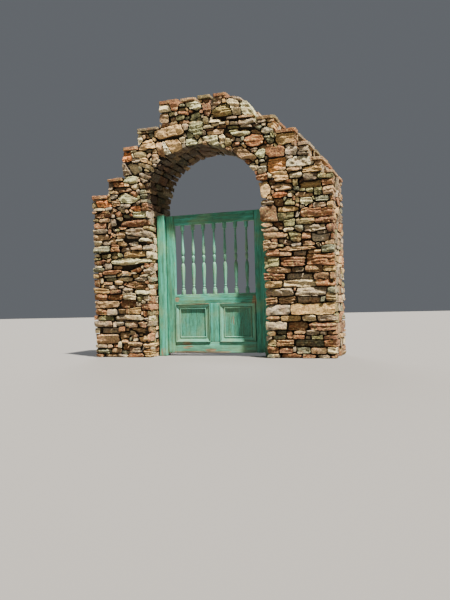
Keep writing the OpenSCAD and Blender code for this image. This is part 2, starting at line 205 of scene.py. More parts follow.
LAID_STONES = """
cream -52.6 284 -40.5 284 -37.5 278 -36.5 272 -50.5 271.5
rustpink -40.5 284 -29 283.5 -26.5 281 -28 276 -30.5 272 -36.5 272 -37.5 278
pinktan -51 271.2 -41.4 271 -40.6 266 -41 259.8 -50 260 -51.4 264
palegreen -40.3 271.5 -34 271.5 -33.5 269.5 -35.2 267 -39.5 266
greytan -39.4 265.6 -35.2 267 -32.8 265 -32.2 262 -35.2 260 -38.6 260.8
cream -33 270 -31 270.4 -29.3 267.6 -31 265.6 -33 267
rustbrown -28.6 270.5 -20.5 270.6 -14.8 266.5 -15.4 264.8 -21 266 -27 267
mossy -31 265.5 -26 267 -20.4 265.2 -21.5 261.5 -27 260 -31 261.5
greygreen -19.6 265.4 -15 263.7 -16.5 260 -21.2 260.3
olive -28 275.5 -21.5 273.4 -20.8 271 -28 270.8
greygreen -25.8 280.6 -22.4 280.4 -21 275.6 -24.6 275 -27 277
creamgreen -19.9 279.5 -14.8 280.4 -5 278.8 -1 276 -1.5 269 -9 269.6 -14.2 270.8 -19 275.6
palegreen -17 259.5 -14.2 264.2 -10 267.8 -5.8 267.2 -1 264.2 -5.2 262.8 -9 261 -13 258.8
mossgrey -16 256.4 -13 258.6 -8.6 262 -2.8 262 -0.4 256.4 -0.4 248 -1.6 240.5 -8.8 242.6 -11.2 243.2
    -15.4 246.8
palegreen -19.6 248 -15.6 246.6 -11.6 243 -12.4 240.4 -18.4 240.2 -19.6 244.4
palegreen -19.8 239.8 -12 239.8 -6.5 237.2 -6.5 233 -13 232 -19.9 232.4
mossgrey -6 236.8 -2 239.6 -0.6 236 -1 232.4 -5.6 232
pinkgrey -24.4 256.4 -18.4 257 -16.4 253.4 -18.2 248.8 -21.2 248.6 -23.8 252.8
creamochre -59.2 252.8 -50 254.6 -33.4 256.8 -25.4 257.2 -21.8 246 -24 245 -32 245 -51.4 242.6 -58.6 245.6
pinkcream -27.5 243 -24.5 243.8 -21.4 240.8 -21.4 234.8 -24.4 234.8 -28 239
greycream -65.2 259.6 -60 259 -60.3 256.5 -64.6 256.4
greybrown -59.5 259.6 -51.4 259.8 -48 258 -52 255.4 -59 255.8
brown -50.5 259 -39.6 259 -39.6 256.4 -47 255.2
tan -38.5 259.6 -30 259.4 -29.6 257.4 -33 256.8 -38.6 257
olive -79.6 254 -73.8 254 -73.6 251.4 -78.5 251.4
pinktan -73 254 -70 254 -69.4 252.4 -73 251.4
cream -68.8 254 -66 254 -64.5 251.5 -66.5 251
greygreen -65.2 254 -60.4 254 -60.4 252 -63 251
cream -79.4 250.6 -73.8 250.4 -73.6 244 -76.4 240.4 -79 240.6
pinktan -73 250.4 -69.8 250.4 -69.2 246.4 -71.5 244.4
tan -69.2 250.4 -66 249 -64.6 246 -68.6 245.4
greygreen -65.5 250.6 -60 251.4 -59.8 246 -62.8 245.6
creamochre -77.4 236 -74.4 240 -69.4 243 -62.2 243.8 -59.8 242 -58 233 -77 233.6
pinktan -57.6 240 -52.8 242 -50.2 239.6 -46.8 233 -46 226 -45.8 221 -49.6 220.4 -51.6 222.2 -55.8 232.4
white -49 238.8 -46.6 240 -42.4 232 -39 225.6 -43 223.4 -45 224.6 -45.4 233
creamochre -45 239.4 -40.6 240 -31 240.2 -28.6 238.6 -25 230.6 -31 228.6 -37 225.6 -40.6 231.6 -43.6 237
orange -98 232.5 -94.2 234.2 -89.8 234.2 -88.4 231.2 -86.8 225.6 -86.6 224 -89.8 221.8 -96 222 -98 226
cream -87.5 232.4 -84 234.2 -79.4 234.2 -80 232.8 -84.6 232.2
cream -87.6 231 -86 230.4 -84 225.6 -85.6 225
olive -84.6 231.8 -79.4 232.4 -72.2 231.8 -68.4 229.6 -69 225.8 -72.2 224.8 -77 224.2 -82.8 224.8 -84.2 228
pinkgrey -86.5 223.4 -78.2 223.8 -74.5 221 -81 219.8 -86.5 220.8
creamochre -76.6 223.6 -70.8 224 -66.8 221.4 -62 216.4 -60.4 214.4 -64.5 215.8 -70 218.6 -75.4 219.8
cream -79.3 218.6 -75.4 219 -70 217.6 -64.4 214.8 -60.6 209.8 -60 207.4 -62.6 207 -65.6 210.8 -72.8 214
    -78.2 216.2
olive -72 213 -66 210.4 -63 207 -67.4 207.4 -71 209.6
greycream -73 209.4 -67.8 207 -61.6 204.4 -62.2 203 -67.8 205 -72.6 207
pinktan -67 229 -63 228.6 -62.4 225 -65 222.6 -67.6 225.6
pinktan -62 226 -59.6 227.4 -56.6 226.4 -54.4 224 -55.6 220.6 -59 219.6 -61.6 221.4 -62.4 224
greycream -60.8 216.4 -58.4 217 -55.6 213.6 -55.6 211 -58.4 211.6 -60.6 214
greycream -55.4 219.8 -52.4 219.8 -51.6 217 -54.6 214.8 -56 216.6
pinkcream -94 219.6 -88 220 -80.6 217.6 -79.4 212 -78.6 206.8 -84.8 206.2 -88 209 -92 214.6
greybrown -98 218.6 -95 218.6 -91.6 213 -88.6 208.6 -89 206 -98.2 206
pinkgrey -79 209.4 -75.4 207.6 -70 204.4 -62.6 201.2 -60.6 199.8 -67 199.4 -72.8 201 -77.6 204.4
palegreen -98.2 203.8 -94 204.8 -84 204.6 -79 202.6 -80.6 198.6 -86.5 196.6 -94 197 -98.2 199.4
greytan -77.8 203 -72.2 200 -66.8 197 -69.4 195.4 -72.8 196 -75.8 199
rustbrown -112 200 -100.8 200 -98.6 196.6 -97.6 194 -103 193.6 -110.6 195
greybrown -118.6 200.6 -112.6 200.6 -112 194 -114 191 -118.4 191.6
greybrown -111.6 193.4 -104 192.8 -98.6 193 -94.4 193 -94.6 191 -103 190 -110 191
pinkcream -89.8 194.4 -79.9 195 -78.6 192.8 -81 189.6 -86.6 190.6 -89.2 192
pinktan -94.4 189.6 -91 192.8 -89.4 191 -88.4 188 -94 187.4
palegreen -105.6 180.8 -103 185 -98.6 187.2 -94.2 186.4 -88.6 183.6 -84 179 -79.6 177 -81 175.6 -90.8 173.2
    -96.4 174.4 -101.4 175 -105 177.4
rustpink -92 186.6 -86.4 188 -81.4 185.6 -80.6 181.8 -82.4 180.2 -85 181 -89 183.4
tan -79.2 196.6 -76 197.4 -72.8 193 -71 190 -77.6 189.4 -78.8 192.4
greygreen -77.4 189 -71 189.4 -69.4 187 -67.4 183.4 -67.6 179 -71 178 -74 177 -77 178 -77.4 184
greygreen -77 177.4 -73.6 176.6 -71 177.4 -67.6 178.4 -67.4 174.6 -72 173.6 -76 174.4
olive -118 189.4 -108.4 189.4 -104 186.4 -106.6 185.8 -110.8 188 -118 188
brown -105 190 -96 190 -95 187.8 -98 188.4 -103.6 186.6
greybrown -139.6 182 -132 182.2 -127 182 -126 180.6 -134 180.4 -139.4 180.4
olive -139.6 179.4 -135 179.6 -134.4 173.4 -139 172.6
orange -134 178.4 -127.6 180.2 -120.4 179.8 -115.4 176.4 -115.2 173.4 -123.6 172.4 -131 173.8
greycream -118.6 182 -111.4 187.2 -106.8 184.8 -108.4 182.4 -114 181.2
tan -114 179 -106.4 179.4 -105.4 177 -101.4 174.6 -103 173.4 -112 172.6
cream -139 169.8 -132 170.8 -123.6 170.8 -123 169 -132 168.6
greycream -122.4 170.6 -115 171 -115 169 -121.4 168.4
redbrown -138 163 -134 166.4 -128.6 167.6 -119 166.4 -114.6 162 -114.6 159.6 -133 159.4 -138.4 161
pinktan -139.6 167.6 -131 167.8 -130 166.6 -137 165.6
greycream -109.6 169.6 -104 171 -98.6 170.4 -97.4 168 -103 167.2
pinktan -117 168 -113 168 -112 164.8 -113.6 163
rustpink -111.4 165.2 -104.8 165.8 -101.4 162.4 -102.6 160.6 -109 160.8
olive -102.6 167 -98 167 -97 165 -101 164.4
pinktan -96.8 167 -93.6 167 -91.6 164 -95.6 163
rust -92.6 169.6 -86.6 170.8 -77.6 171.8 -77.4 165 -81.4 164.6 -86.6 166
rustpink -76.8 173 -70 173 -67.6 171.4 -67.4 167.6 -68 165.4 -76.8 165
palegreen -88 162.6 -80 163.4 -72.4 163.4 -70.6 160 -73.4 157 -80 157 -86.6 159.4
greycream -69.8 163.4 -67.6 164.6 -67.6 160 -67.6 156.2 -70.4 156.4
greygreen -100 161.4 -93 162 -91.6 158 -92.6 156.8 -99 157
pinkcream -107.6 158.4 -100.6 158.4 -101 156 -106.4 156
greycream -116 158.6 -110.4 158.8 -108.6 151 -115 150.6
redbrown -104.4 151.4 -100 154.2 -92 154.6 -84 154.2 -78 154.8 -70 154.2 -67.6 153 -67.6 148.4 -78 147.4
    -95 147.8 -103 148.6
rustpink -108.6 147.8 -102 148.4 -94 147.6 -94 146.4 -104 146
greytan -98 144 -89 145.2 -77.4 144.6 -70 142.4 -67.6 139 -68 135 -76 135 -86.6 137 -95.6 139.4
greycream -97 138.6 -91 138 -80 135 -84 134.2 -96 134.2
greycream -115 146.8 -109.6 146 -109 143 -113 142
tan -108.4 142 -103.4 143.8 -99.4 142 -99 140 -99.4 135.4 -107.4 135 -108.4 138
cream -108.6 134.2 -99.6 134.4 -99.4 132.6 -108 132.4
creamochre -107.4 131.6 -99.4 131.8 -95.8 127 -96.8 124.8 -103 125.4 -107.4 128
white -82 132.6 -75 134.4 -69 132.8 -68.4 130.6 -78 130
greycream -94 129.6 -89 131.4 -83 130 -81.4 127 -85 125.6 -92.6 126.4
deep -81 129.4 -74 129.8 -68.6 128.6 -68.6 126.6 -76 126.4
pinktan -90 123.4 -84 125.4 -78 126 -76.4 122.6 -77 121 -88 121
greycream -75.6 124 -70 125.4 -67.6 124.8 -67.6 121.4 -75 120.8
ochre -102 118.4 -89 120 -80 119.9 -72.4 118.6 -71.4 114 -80 112.6 -90 113 -101 113.2
mossy -107 118.6 -100.4 118.4 -100.4 113.6 -106 113.8
cream -70.8 118.4 -67.6 118.6 -67.6 111.4 -71 111.2
creamgreen -117 109 -108.6 111.6 -95 111.4 -80 110.8 -67.6 109.8 -67.6 107 -78 106 -92 104.4 -100 104
    -108 104.4 -115 105.4
pinkcream -138 118.6 -133 120.4 -130.6 118 -131 115.4 -137 114.4
creamochre -128.6 120.4 -119 120.6 -119.6 118.6 -128.6 118.8
olive -130 117.6 -117 118 -116.6 115 -122 113.6 -129 114
pinkcream -137 104 -128 104.4 -125.6 102.4 -136 102
tan -121 111.8 -117.6 112 -117.6 108 -121 107
rustpink -128 97.6 -120 99.6 -104.6 99.6 -103.4 97.6 -108.4 95.4 -116 94 -126.6 94.6
rustbrown -93 98.6 -86 100.6 -79.6 100.6 -75.4 97.6 -80 96 -90 96.6
pinkcream -91 96 -84 95.4 -84 93.6 -90 93.8
greytan -74.6 99 -67.6 100 -67.6 95 -68 94 -74 95.4
white -127.6 93 -120 93.8 -112 93.4 -112 91.8 -127 91.6
white -102.4 94.6 -95 94.6 -95 92.6 -103.6 92.4
cream -109 91.2 -102 92 -93 91.6 -89.6 89.8 -91.6 87.4 -98.6 86 -105.6 86.6 -109 89
greygreen -126 90.4 -112 90.4 -110.4 88 -114 86 -124 86.4
pinkcream -131.6 89.6 -128 90 -127 86 -130 83.4
greycream -88 89 -82 90.4 -74 90 -70 87.6 -74 85.6 -86 86
pinkcream -81.6 92.8 -69 92.8 -69 91.2 -81 91.2
greygreen -69.6 90.4 -67.6 90 -67.6 86 -69 85.6
brown -99.6 82.4 -93 85.2 -86 86 -77 84.8 -72 82 -70.4 79 -75.4 77 -86 77.4 -97 78.8
greybrown -107.6 82.4 -101.6 82 -101 79 -104 76.6 -107.6 78
greytan -127 82.4 -117.6 83.2 -109 81.6 -109 77.6 -119 77 -128 79
cream -69.4 80.6 -67.6 80.6 -67.6 77 -69 77
creamgreen -88.6 73.6 -82 75 -68 74.8 -67.6 72 -72 71.6 -86 71.6
cream -76 68 -70 69 -69.4 64 -73 63 -76.4 65
pinktan -69 68 -67.6 68 -67.6 62 -69 62
rustpink -69.6 60 -67.6 59.6 -67.6 52.6 -69.6 53
redbrown -79.6 60 -70.6 59.6 -70.4 53 -77 52.6
cream -70 47 -67.6 47 -67.6 42 -70 42
pinkgrey -71 40.6 -67.6 40.6 -67.6 34.6 -71 34.6
tan -92.6 32.6 -82 33.8 -72 32 -71.6 27.6 -80 27 -91 29.6
cream -117 57.6 -100.6 57.8 -100.6 56 -116.6 56
tan -110 54.6 -100.4 54.6 -101 50 -108 49.6
greycream -111 39.6 -104 40 -101.6 36.6 -110 35.4
creamochre -84.4 22.6 -78 24.4 -72.4 24 -72.4 17 -78 16.6 -83 18.6
rustpink -71.8 25 -67.6 27 -67.6 18.6 -71.4 17
redbrown -93 24 -85 26 -84.8 23 -91 20.6
pinktan -95.6 18 -86 18 -79 15.6 -79 12 -88 11 -95 13
creamochre -77.6 14.6 -71 15 -67.6 16.6 -67.6 12 -71 10.6 -76 10.8
ochre -78 8 -73 10 -67.6 10 -67.6 1 -76 1 -78 4
redbrown 0.4 279.4 9.2 279.4 9.6 272 9.2 263 6.8 260.6 2.6 261.4 0.6 270
greybrown 10 279.6 21.8 278.8 22.4 275.6 18.8 271.6 14 267.6 10.4 266
redbrown 24.6 280.6 28.6 280.8 30.6 280 28.6 277.4 25 277.6
oliveyellow 11 264.6 19.4 271 26 273 31 270 33.5 265 34 258.8 24 258.6 14.6 258.8 12 261.4
pinkcream 28 275.5 33.2 276.6 38.4 273.8 42.4 269 43.6 257.6 36 258.2 34.6 266 30 272.5
creamgreen 43 270.8 47.6 272 52 268.4 55 264 58.4 257.6 56.6 256 48 257.2 44.4 262.4
greytan 31.6 280 36.4 279.6 42.2 277.4 46.6 274 44 273 38 276.8
greytan 26 256.8 31.4 257 39.8 256.8 39.8 254.8 27.2 254.6
tan 40.4 256.8 50 256.2 58.6 256.6 58.6 254 47 253.6 40.4 254.6
pinkgrey 40.2 252.2 56 252.8 58.8 252.4 58.8 248.6 53 248 41 248.4
pinkgrey 59.4 250 66.8 250.2 71 248.6 71.4 246.6 65 247.8 59.4 248
pinkcream 7.6 254.8 10 256.6 14 256.4 19 255.8 22 254 16 252.8 11 252.8
cream 19.4 252 26 252 25.6 250.4 19.2 250.4
pinkcream 0.8 250.2 6.8 251 10.6 250 14.2 248.4 9.8 247 2 247.6
redbrown 3.4 247 12.4 247.2 12 245.2 4.4 245.2
pinktan 4.8 245 9.8 245.6 19 246.8 24.8 245.4 23.6 242 19 240.2 4.6 240.6
brown 15.4 249.2 26 249.6 26 247 16 246.8
greytan 31 250.8 38.6 250.8 38.6 248.8 30.4 248.8
mossy 27.2 247.4 32 248 41 246.2 40.4 244.4 32 245 28 245.6
greytan 42.6 245.4 47 246.8 53 245.6 55 243.8 48.6 244
greybrown 56 246.8 65 246.4 64 244.4 57 244.6
redbrown 41 243.4 47.6 243.4 51.2 241 43 241
mossy 28.6 243.6 40 243.2 40 241.6 32 241.4
palegreen 31 240.4 38 240.8 53 239 53 236.4 47 234.4 41 235 35.6 237.2
brown 25.4 242.4 31 239.6 33.4 235 31.4 233.6 28 237 25.6 240.2
creamgreen -1 239.6 5.6 239.8 16.4 238.6 17.6 234 17.6 230 12.8 230.2 6.8 232.4 1 235
cream 18.8 238.6 22.4 238.8 25.4 235 23.6 230 20.6 227.8 18.8 232
olive 26 234.6 30.6 233.8 32.4 230 31.4 227 29 225.4 25.6 226.6 24.8 230
pinktan 33 231 36 230 35.6 226.8 33 225.2
greycream 36.8 233 41 233.6 44.4 230.4 38 229.4
white 42.6 228.4 46 228.6 46.4 226.4 43 226
deeprust 46.6 229.6 50 234.6 57.2 236 62 234.4 67.6 230.2 67.6 225.6 62 222.4 56 221.8 50.4 223.4
tan 54 240.4 58 241.2 62.6 238.4 65 235 62 236 56 237.6
greygreen 60.4 243 66 244 67.4 241.4 64.4 239.4
white 65.3 241.4 71 242 76 238.8 79.6 238.2 79.4 235.8 68.2 235.6 66 237.6
creamochre 71.4 243.4 76 246 79.6 246 79.8 242 79.6 239 76.8 239.6
tan 72 249.8 79.6 249.6 79.6 246.8 75 246.6 72 247
ochre 81 233.4 86.4 233.6 95.5 233.6 101.6 233.6 101.8 223 98.8 222.4 90 223.6 82.5 222.6 80.8 224
greygreen 69 233.4 73 233.6 76.6 229.4 78.4 226 77.6 223.8 72.8 224.6 70.2 228.6
pinktan 61 221.4 67.4 224.4 70 224 69.6 220.6 62.4 220.2
pinktan 71.5 222.8 77.6 222.8 77 220.4 71.6 220.4
rustbrown 70.4 219.6 80 220 89.4 219.4 89.8 216 89 210.8 80.6 209.4 73.4 209 70.4 213
greycream 91.2 219.8 94.2 221 99.4 218.6 104 217 104 213 100.8 209.4 94.2 208.8 91.4 211
pinkgrey 104.6 218 115 218.4 116 217 116 213 110 212 104.6 213.8
greybrown 104 211.6 116 210.4 115.6 208 107 208.8 104 210
white 91.6 202.4 94.2 206 100 206.8 116 206.6 121 201 118 198.6 109 197 94.2 197 92 199.6
pinktan 121.8 201.6 129 201.6 129 196.4 122 197
apricot 71 207.8 76 208.2 89.4 208.2 91 206.4 89.4 199 80.6 197 76 193.8 71.4 195
cream 52 204.6 56.5 205.4 60 203 61.8 200 60.6 197 57.6 197 54 200.6
white 62 200.8 69.4 201 69.8 196.4 66.2 193.6 61.8 193.6 61 196.4
palegreen 58 216 63 218 68.5 218.6 68.5 210 65 209.6 60.4 212.8
white 62.4 207.6 68.9 207.6 68.9 205.4 63 205.2
tan 32.6 221.6 37 225 43 224.4 48 221 54 216.4 59.6 210.4 58.6 208 55 208 48 210.8 40 216
rustbrown 60 192.4 64 191.8 69.5 193 71.4 190 71 187 67.6 186.2 63 186.4 61 189.8
pinkcream 71.8 192.4 75.4 189.8 75.4 187 72.4 187.4
creamochre 77 192.6 80 193.8 91 194.2 92.4 189 94.2 184.4 89.6 184.8 86 183.4 80 184 78 188.6
pinktan 80.6 195.4 86.4 196.6 90.6 197 90.6 195 85 194.6
creamochre 61.2 183.6 64 185 70 184.6 73.6 178 73.6 171.4 69 168 64 168 61.6 170
pinktan 74.4 180 80 181 90 181.4 95.5 180.8 98.6 176 96 174 89 173 81 173.6 76 176
creamgreen 89.6 172.8 97 173.6 102 172.4 100 170.8 92 171
rust 76.6 168.6 79.4 172.2 89 172.2 91.6 170.4 90.4 167.4 84 166 78 166.6
pinkcream 92 170.6 95.5 172 98 170 98.6 167 92.6 167.6
pinktan 100.6 170.6 107 171 112 169.6 119 168 119 166 101 165.8
greybrown 62.2 164.6 74 164.6 76 162 76 160 62.2 159.4
mossy 92 165.4 97 164 100 160 99 158 90 158.4 88.6 160
creamgreen 106 164 117 164 119 159 112 156 106 158
brown 61.8 158.6 70 159 79.6 158.2 80.2 152 80.2 143 72 142.4 61.8 142.8
ochre 80.6 157 88 158 98 157 104 155 104 152 92 150.6 81 151
mossy 80.8 150.4 92 150 99 150.4 97 146 92 143 84 142.6 81 145
tan 62.8 141.6 72 141.6 75.6 139.8 76 137.4 62.8 137
redbrown 76 141 83 140.6 86 138 82 136.6 77 137.4
greytan 62.6 136.6 76 136.6 83 133 80 132 62.6 132.6
cream 86 133.6 92 136 97 134.4 98 132 88 131.4
tan 63.8 130 75 130.4 85 130 92 128.4 90 125.6 78 124.6 63.8 125
mossy 92.6 131 100 131 104 129 105 124 103 119 97 119 93.6 124
pinktan 64 121.4 72 121.6 80 120 80 116 78 113.6 70 113 64 114
greytan 81 124.4 89 124 93 121 96 118 88 117.6 81.4 119
brown 106 121 114 122 119 117 118 115.6 107 115.8
tan 79 114.6 90 115 105 114.6 120 114.4 123 111 105 110.6 85 110
deep -99.6 157.6 -90 158.2 -87 156.6 -90 155.4 -98 155.2
deep -87 156.2 -78 156.6 -69 156.6 -69 155.6 -86 155.4
deep -108.2 156 -104.8 156 -104.8 149.4 -108 149.2
deep -98.4 134 -86 134.2 -79.6 134.4 -83.6 132.4 -94 131.8 -98.4 132
deep -79 112.2 -72 112.6 -72 111.6 -79 111.6
deep -103 103.2 -96 103.4 -88 103.8 -78 105.2 -74.6 104.6 -80 102 -88 99.8 -94 97.4 -102 98.4
deep -55 242 -50 242 -32 244.2 -25 244 -28 241.2 -46 240.6 -54 241.2
deep 11 258.2 33 258.6 33 257.4 12 257.2
deep 22 254.8 40 254 56 253.6 56 252.8 40 252.8 22 253.6
deep 26 244.2 40 243.9 54 243.4 54 242.8 40 243.5 26 243.8
"""
WALL_FACE, BASE = 0.310, 0.0
SPRING, JAMB = 1.635, 0.675
LEFT_STEPS = [(-1.400, 1.825), (-1.190, 2.010), (-0.985, 2.345), (-0.790, 2.540), (-0.520, 2.810)]
RIGHT_STEPS = [(1.400, 1.880), (1.295, 2.020), (1.165, 2.185), (1.020, 2.340), (0.800, 2.505),
               (0.590, 2.505), (0.285, 2.810)]
SHOULDER = (0.285, 2.505, 0.305)
# Radius of the arch in mm by the angle from the right springing: at the front, the middle and the back
ARCH_ANGLES = [0, 13, 22, 32, 40, 50, 59, 67, 76, 88, 101, 111, 120, 130, 138, 145, 150, 158, 170, 180]
ARCH_FRONT = [630, 636, 636, 640, 632, 632, 643, 646, 658, 666,
              692, 704, 716, 730, 738, 732, 738, 728, 690, 668]
ARCH_MIDDLE = [675, 663, 654, 645, 642, 642, 646, 652, 660, 674,
               688, 698, 705, 709, 708, 706, 704, 698, 686, 675]
ARCH_BACK = [668, 660, 664, 655, 650, 646, 652, 660, 668, 679,
             684, 690, 686, 690, 686, 692, 686, 680, 672, 668]
# Distance of each jamb's front edge from the middle of the opening, by height
JAMB_HEIGHTS = [0.0, 0.60, 0.80, 1.10, 1.20, 1.31, 1.34, 1.43, 1.46, 1.62, 1.65]
LEFT_JAMB_FRONT = [0.675, 0.671, 0.664, 0.645, 0.642, 0.643, 0.644, 0.645, 0.650, 0.670, 0.674]
RIGHT_JAMB_FRONT = [0.655, 0.650, 0.642, 0.636, 0.638, 0.634, 0.620, 0.618, 0.612, 0.612, 0.628]
MIDDLE_OVERLAP, FAR = 0.25, 9.0


def outline(p, level):
    """How far points lie outside the elevation, at level 0 the front face, 1 the middle or 2 the back."""
    x, z = p[..., 0], p[..., 1]
    body = np.full(x.shape, FAR)
    for end, top in LEFT_STEPS:
        body = np.minimum(body, np.maximum.reduce([end - x, x - MIDDLE_OVERLAP, z - top]))
    for end, top in RIGHT_STEPS:
        body = np.minimum(body, np.maximum.reduce([x - end, -MIDDLE_OVERLAP - x, z - top]))
    shoulder_x, shoulder_z, shoulder_radius = SHOULDER
    body = np.minimum(body, np.hypot(x - shoulder_x, z - shoulder_z) - shoulder_radius)
    angle = np.degrees(np.arctan2(np.maximum(z - SPRING, 0), x))
    arch = np.interp(angle, ARCH_ANGLES, (ARCH_FRONT, ARCH_MIDDLE, ARCH_BACK)[level]) / 1000
    if level == 0:
        jamb = np.where(x < 0, np.interp(z, JAMB_HEIGHTS, LEFT_JAMB_FRONT),
                        np.interp(z, JAMB_HEIGHTS, RIGHT_JAMB_FRONT))
    else:
        jamb = JAMB
    hole = np.where(z > SPRING, arch - np.hypot(x, z - SPRING), jamb - np.abs(x))
    return np.maximum(body, hole)


def sides(corners):
    """Outward normals and offsets of the hull of some corners."""
    pts = sorted(map(tuple, corners))
    hull = []
    for run in (pts, pts[::-1]):
        part = []
        for p in run:
            while len(part) > 1 and ((part[-1][0] - part[-2][0]) * (p[1] - part[-2][1])
                                     <= (part[-1][1] - part[-2][1]) * (p[0] - part[-2][0])):
                part.pop()
            part.append(p)
        hull += part[:-1]
    hull = np.array(hull)
    along = np.roll(hull, -1, 0) - hull
    normal = np.stack([along[:, 1], -along[:, 0]], 1) / np.linalg.norm(along, axis=1)[:, None]
    return normal, (normal * hull).sum(1)


def reach_of(p, hull):
    """How far points lie outside a hull."""
    normal, offset = hull
    return np.max(p[..., :1] * normal[:, 0] + p[..., 1:] * normal[:, 1] - offset, axis=-1)


# The elevation is a fine grid that remembers the nearest stone, so that neighbours share their joint
CELL, MARGIN, NO_STONE = 0.004, 0.07, 0.5
GRID_X = np.arange(-1.44, 1.44, CELL)
GRID_Z = np.arange(-0.04, 2.88, CELL)
grid = np.stack(np.meshgrid(GRID_X, GRID_Z, indexing="ij"), -1)
nearest = np.full(grid.shape[:2], NO_STONE)
second = np.full(grid.shape[:2], NO_STONE)
owner = np.full(grid.shape[:2], -1)
masonry = outline(grid, 1)
laid = []


def window(low, high):
    """The part of the grid round a box."""
    i = np.clip(((np.array(low) - MARGIN - (GRID_X[0], GRID_Z[0])) / CELL).astype(int), 0, None)
    j = np.clip(((np.array(high) + MARGIN - (GRID_X[0], GRID_Z[0])) / CELL).astype(int), 1, None)
    return slice(i[0], j[0]), slice(i[1], j[1])


def lay(tone, corners):
    """Puts a stone in the elevation, up against those already laid."""
    corners = np.asarray(corners, float)
    hull = sides(corners)
    part = window(corners.min(0), corners.max(0))
    away = reach_of(grid[part], hull)
    first = away < nearest[part]
    second[part] = np.where(first, nearest[part], np.minimum(second[part], away))
    owner[part] = np.where(first, len(laid), owner[part])
    nearest[part] = np.where(first, away, nearest[part])
    laid.append({"tone": tone, "hull": hull, "part": part})


traced = []
for word in LAID_STONES.split():
    if word.isalpha():
        traced.append((word, []))
    else:
        traced[-1][1].append(float(word))
for tone, numbers in traced:
    lay(tone, np.array(numbers).reshape(-1, 2) / 100)

# Rough courses fill what the laid stones leave free: the foot of the piers and the outer right side
chance = np.random.default_rng(11)
COURSE_TONES = ["tan", "pinktan", "greytan", "brown", "greybrown", "rustbrown", "pinkgrey", "greycream",
                "olive", "mossy", "ochre", "rustpink", "redbrown", "pinkcream", "creamochre", "greygreen"]
COURSE_HEIGHTS, COURSE_ODDS = [0.045, 0.06, 0.075, 0.095, 0.12], [0.2, 0.25, 0.25, 0.2, 0.1]
PIERS, COURSES_TOP, FREE, END_INSET = ((-1.40, -0.675), (0.675, 1.40)), 2.45, 0.012, 0.02


def free_at(p):
    """Distance from a point to the nearest laid stone."""
    i = int(np.clip((p[0] - GRID_X[0]) / CELL, 0, len(GRID_X) - 1))
    k = int(np.clip((p[1] - GRID_Z[0]) / CELL, 0, len(GRID_Z) - 1))
    return nearest[i, k]


CORNER_CUT = 0.12


def course_stone(x, z, length, height, tilt):
    """A rough block with cut corners."""
    a, b = length / 2, height / 2
    cut_x, cut_z = min(CORNER_CUT * a, 0.010), CORNER_CUT * b
    corners = [(-a, -b + cut_z), (-a + cut_x, -b), (a - cut_x, -b), (a, -b + cut_z),
               (a, b - cut_z), (a - cut_x, b), (-a + cut_x, b), (-a, b - cut_z)]
    corners = np.array(corners) * chance.uniform(0.86, 1.0, (8, 2))
    turned = corners @ np.array([[math.cos(tilt), math.sin(tilt)], [-math.sin(tilt), math.cos(tilt)]])
    return turned + (x, z)


for first_x, last_x in PIERS:
    level = 0.0
    while level < COURSES_TOP:
        height = chance.choice(COURSE_HEIGHTS, p=COURSE_ODDS)
        start = first_x - chance.uniform(0, 0.12)
        while start < last_x:
            length = chance.uniform(1.5, 4.2) * height + 0.04
            tone = chance.choice(COURSE_TONES)
            tilt = chance.normal(0, 0.03)
            rise = chance.normal(0, 0.004)
            wide, high = 0.36 * length, 0.3 * height
            x = np.clip(start + length / 2, first_x + END_INSET, last_x - END_INSET)
            z = level + height / 2
            spots = [(x, z), (x - wide, z), (x + wide, z), (x, z - high), (x, z + high)]
            if min(free_at(s) for s in spots) > FREE and outline(np.array((x, z)), 1) < -END_INSET:
                lay(tone, course_stone(start + length / 2, z + rise, length, height, tilt))
            start += length
        level += height

# Small stones wedged into whatever holes are left
MOST_WEDGES, SMALLEST_HOLE, LARGEST_RISE, WEDGE_REACH = 300, 0.0175, 0.04, 0.12
for wedge in range(MOST_WEDGES):
    room = np.minimum(nearest, -masonry + 0.004)
    i, k = np.unravel_index(np.argmax(room), room.shape)
    if room[i, k] < SMALLEST_HOLE:
        break
    x, z, size = GRID_X[i], GRID_Z[k], min(room[i, k], LARGEST_RISE)
    ends = []
    for way in (-1, 1):
        end = i
        while (0 <= end + way < len(GRID_X) and room[end, k] > 0.55 * size
               and abs(GRID_X[end] - x) < WEDGE_REACH):
            end += way
        ends.append(GRID_X[end])
    lay(chance.choice(COURSE_TONES), course_stone(sum(ends) / 2, z, ends[1] - ends[0], 2 * size + 0.004,
                                                  chance.normal(0, 0.05)))

# Each stone on the front and the back: a broken face on a body that narrows into the wall, at its own depth.
# A stone that meets a jamb, an end, a step or the arch runs further back and shows its flank there.
HASH_PRIMES = (73856093, 19349663, 83492791)


def lumps(p, size, seed=0):
    """A smooth random field between -1 and 1 with lumps of a given size."""
    q = p / size + (0.37 * seed, 1.7 * seed, 2.9 * seed)
    whole = np.floor(q).astype(np.int64)
    part = q - whole
    part = part * part * (3 - 2 * part)
    total = np.zeros(q.shape[:-1])
    for corner in np.ndindex(2, 2, 2):
        cell = whole + corner
        mixed = cell * HASH_PRIMES
        key_number = mixed[..., 0] ^ mixed[..., 1] ^ mixed[..., 2]
        key_number = (key_number * 2654435761 + 977) & 0xFFFFFF
        value = ((key_number ^ (key_number >> 9)) & 0xFFFF) / 32767.5 - 1
        weight = np.prod(np.where(corner, part, 1 - part), axis=-1)
        total += weight * value
    return total


# Points round a stone's outline, how far it may grow past its corners, and the fewest cells that make one
AROUND, GROW, FEWEST_CELLS = 64, 0.034, 28
ABOVE_FLOOR, NEARLY_ROUND, NOTCH_SIZE, NOTCH_DEPTH = BASE + 0.001, 1.3, 0.033, 0.0015


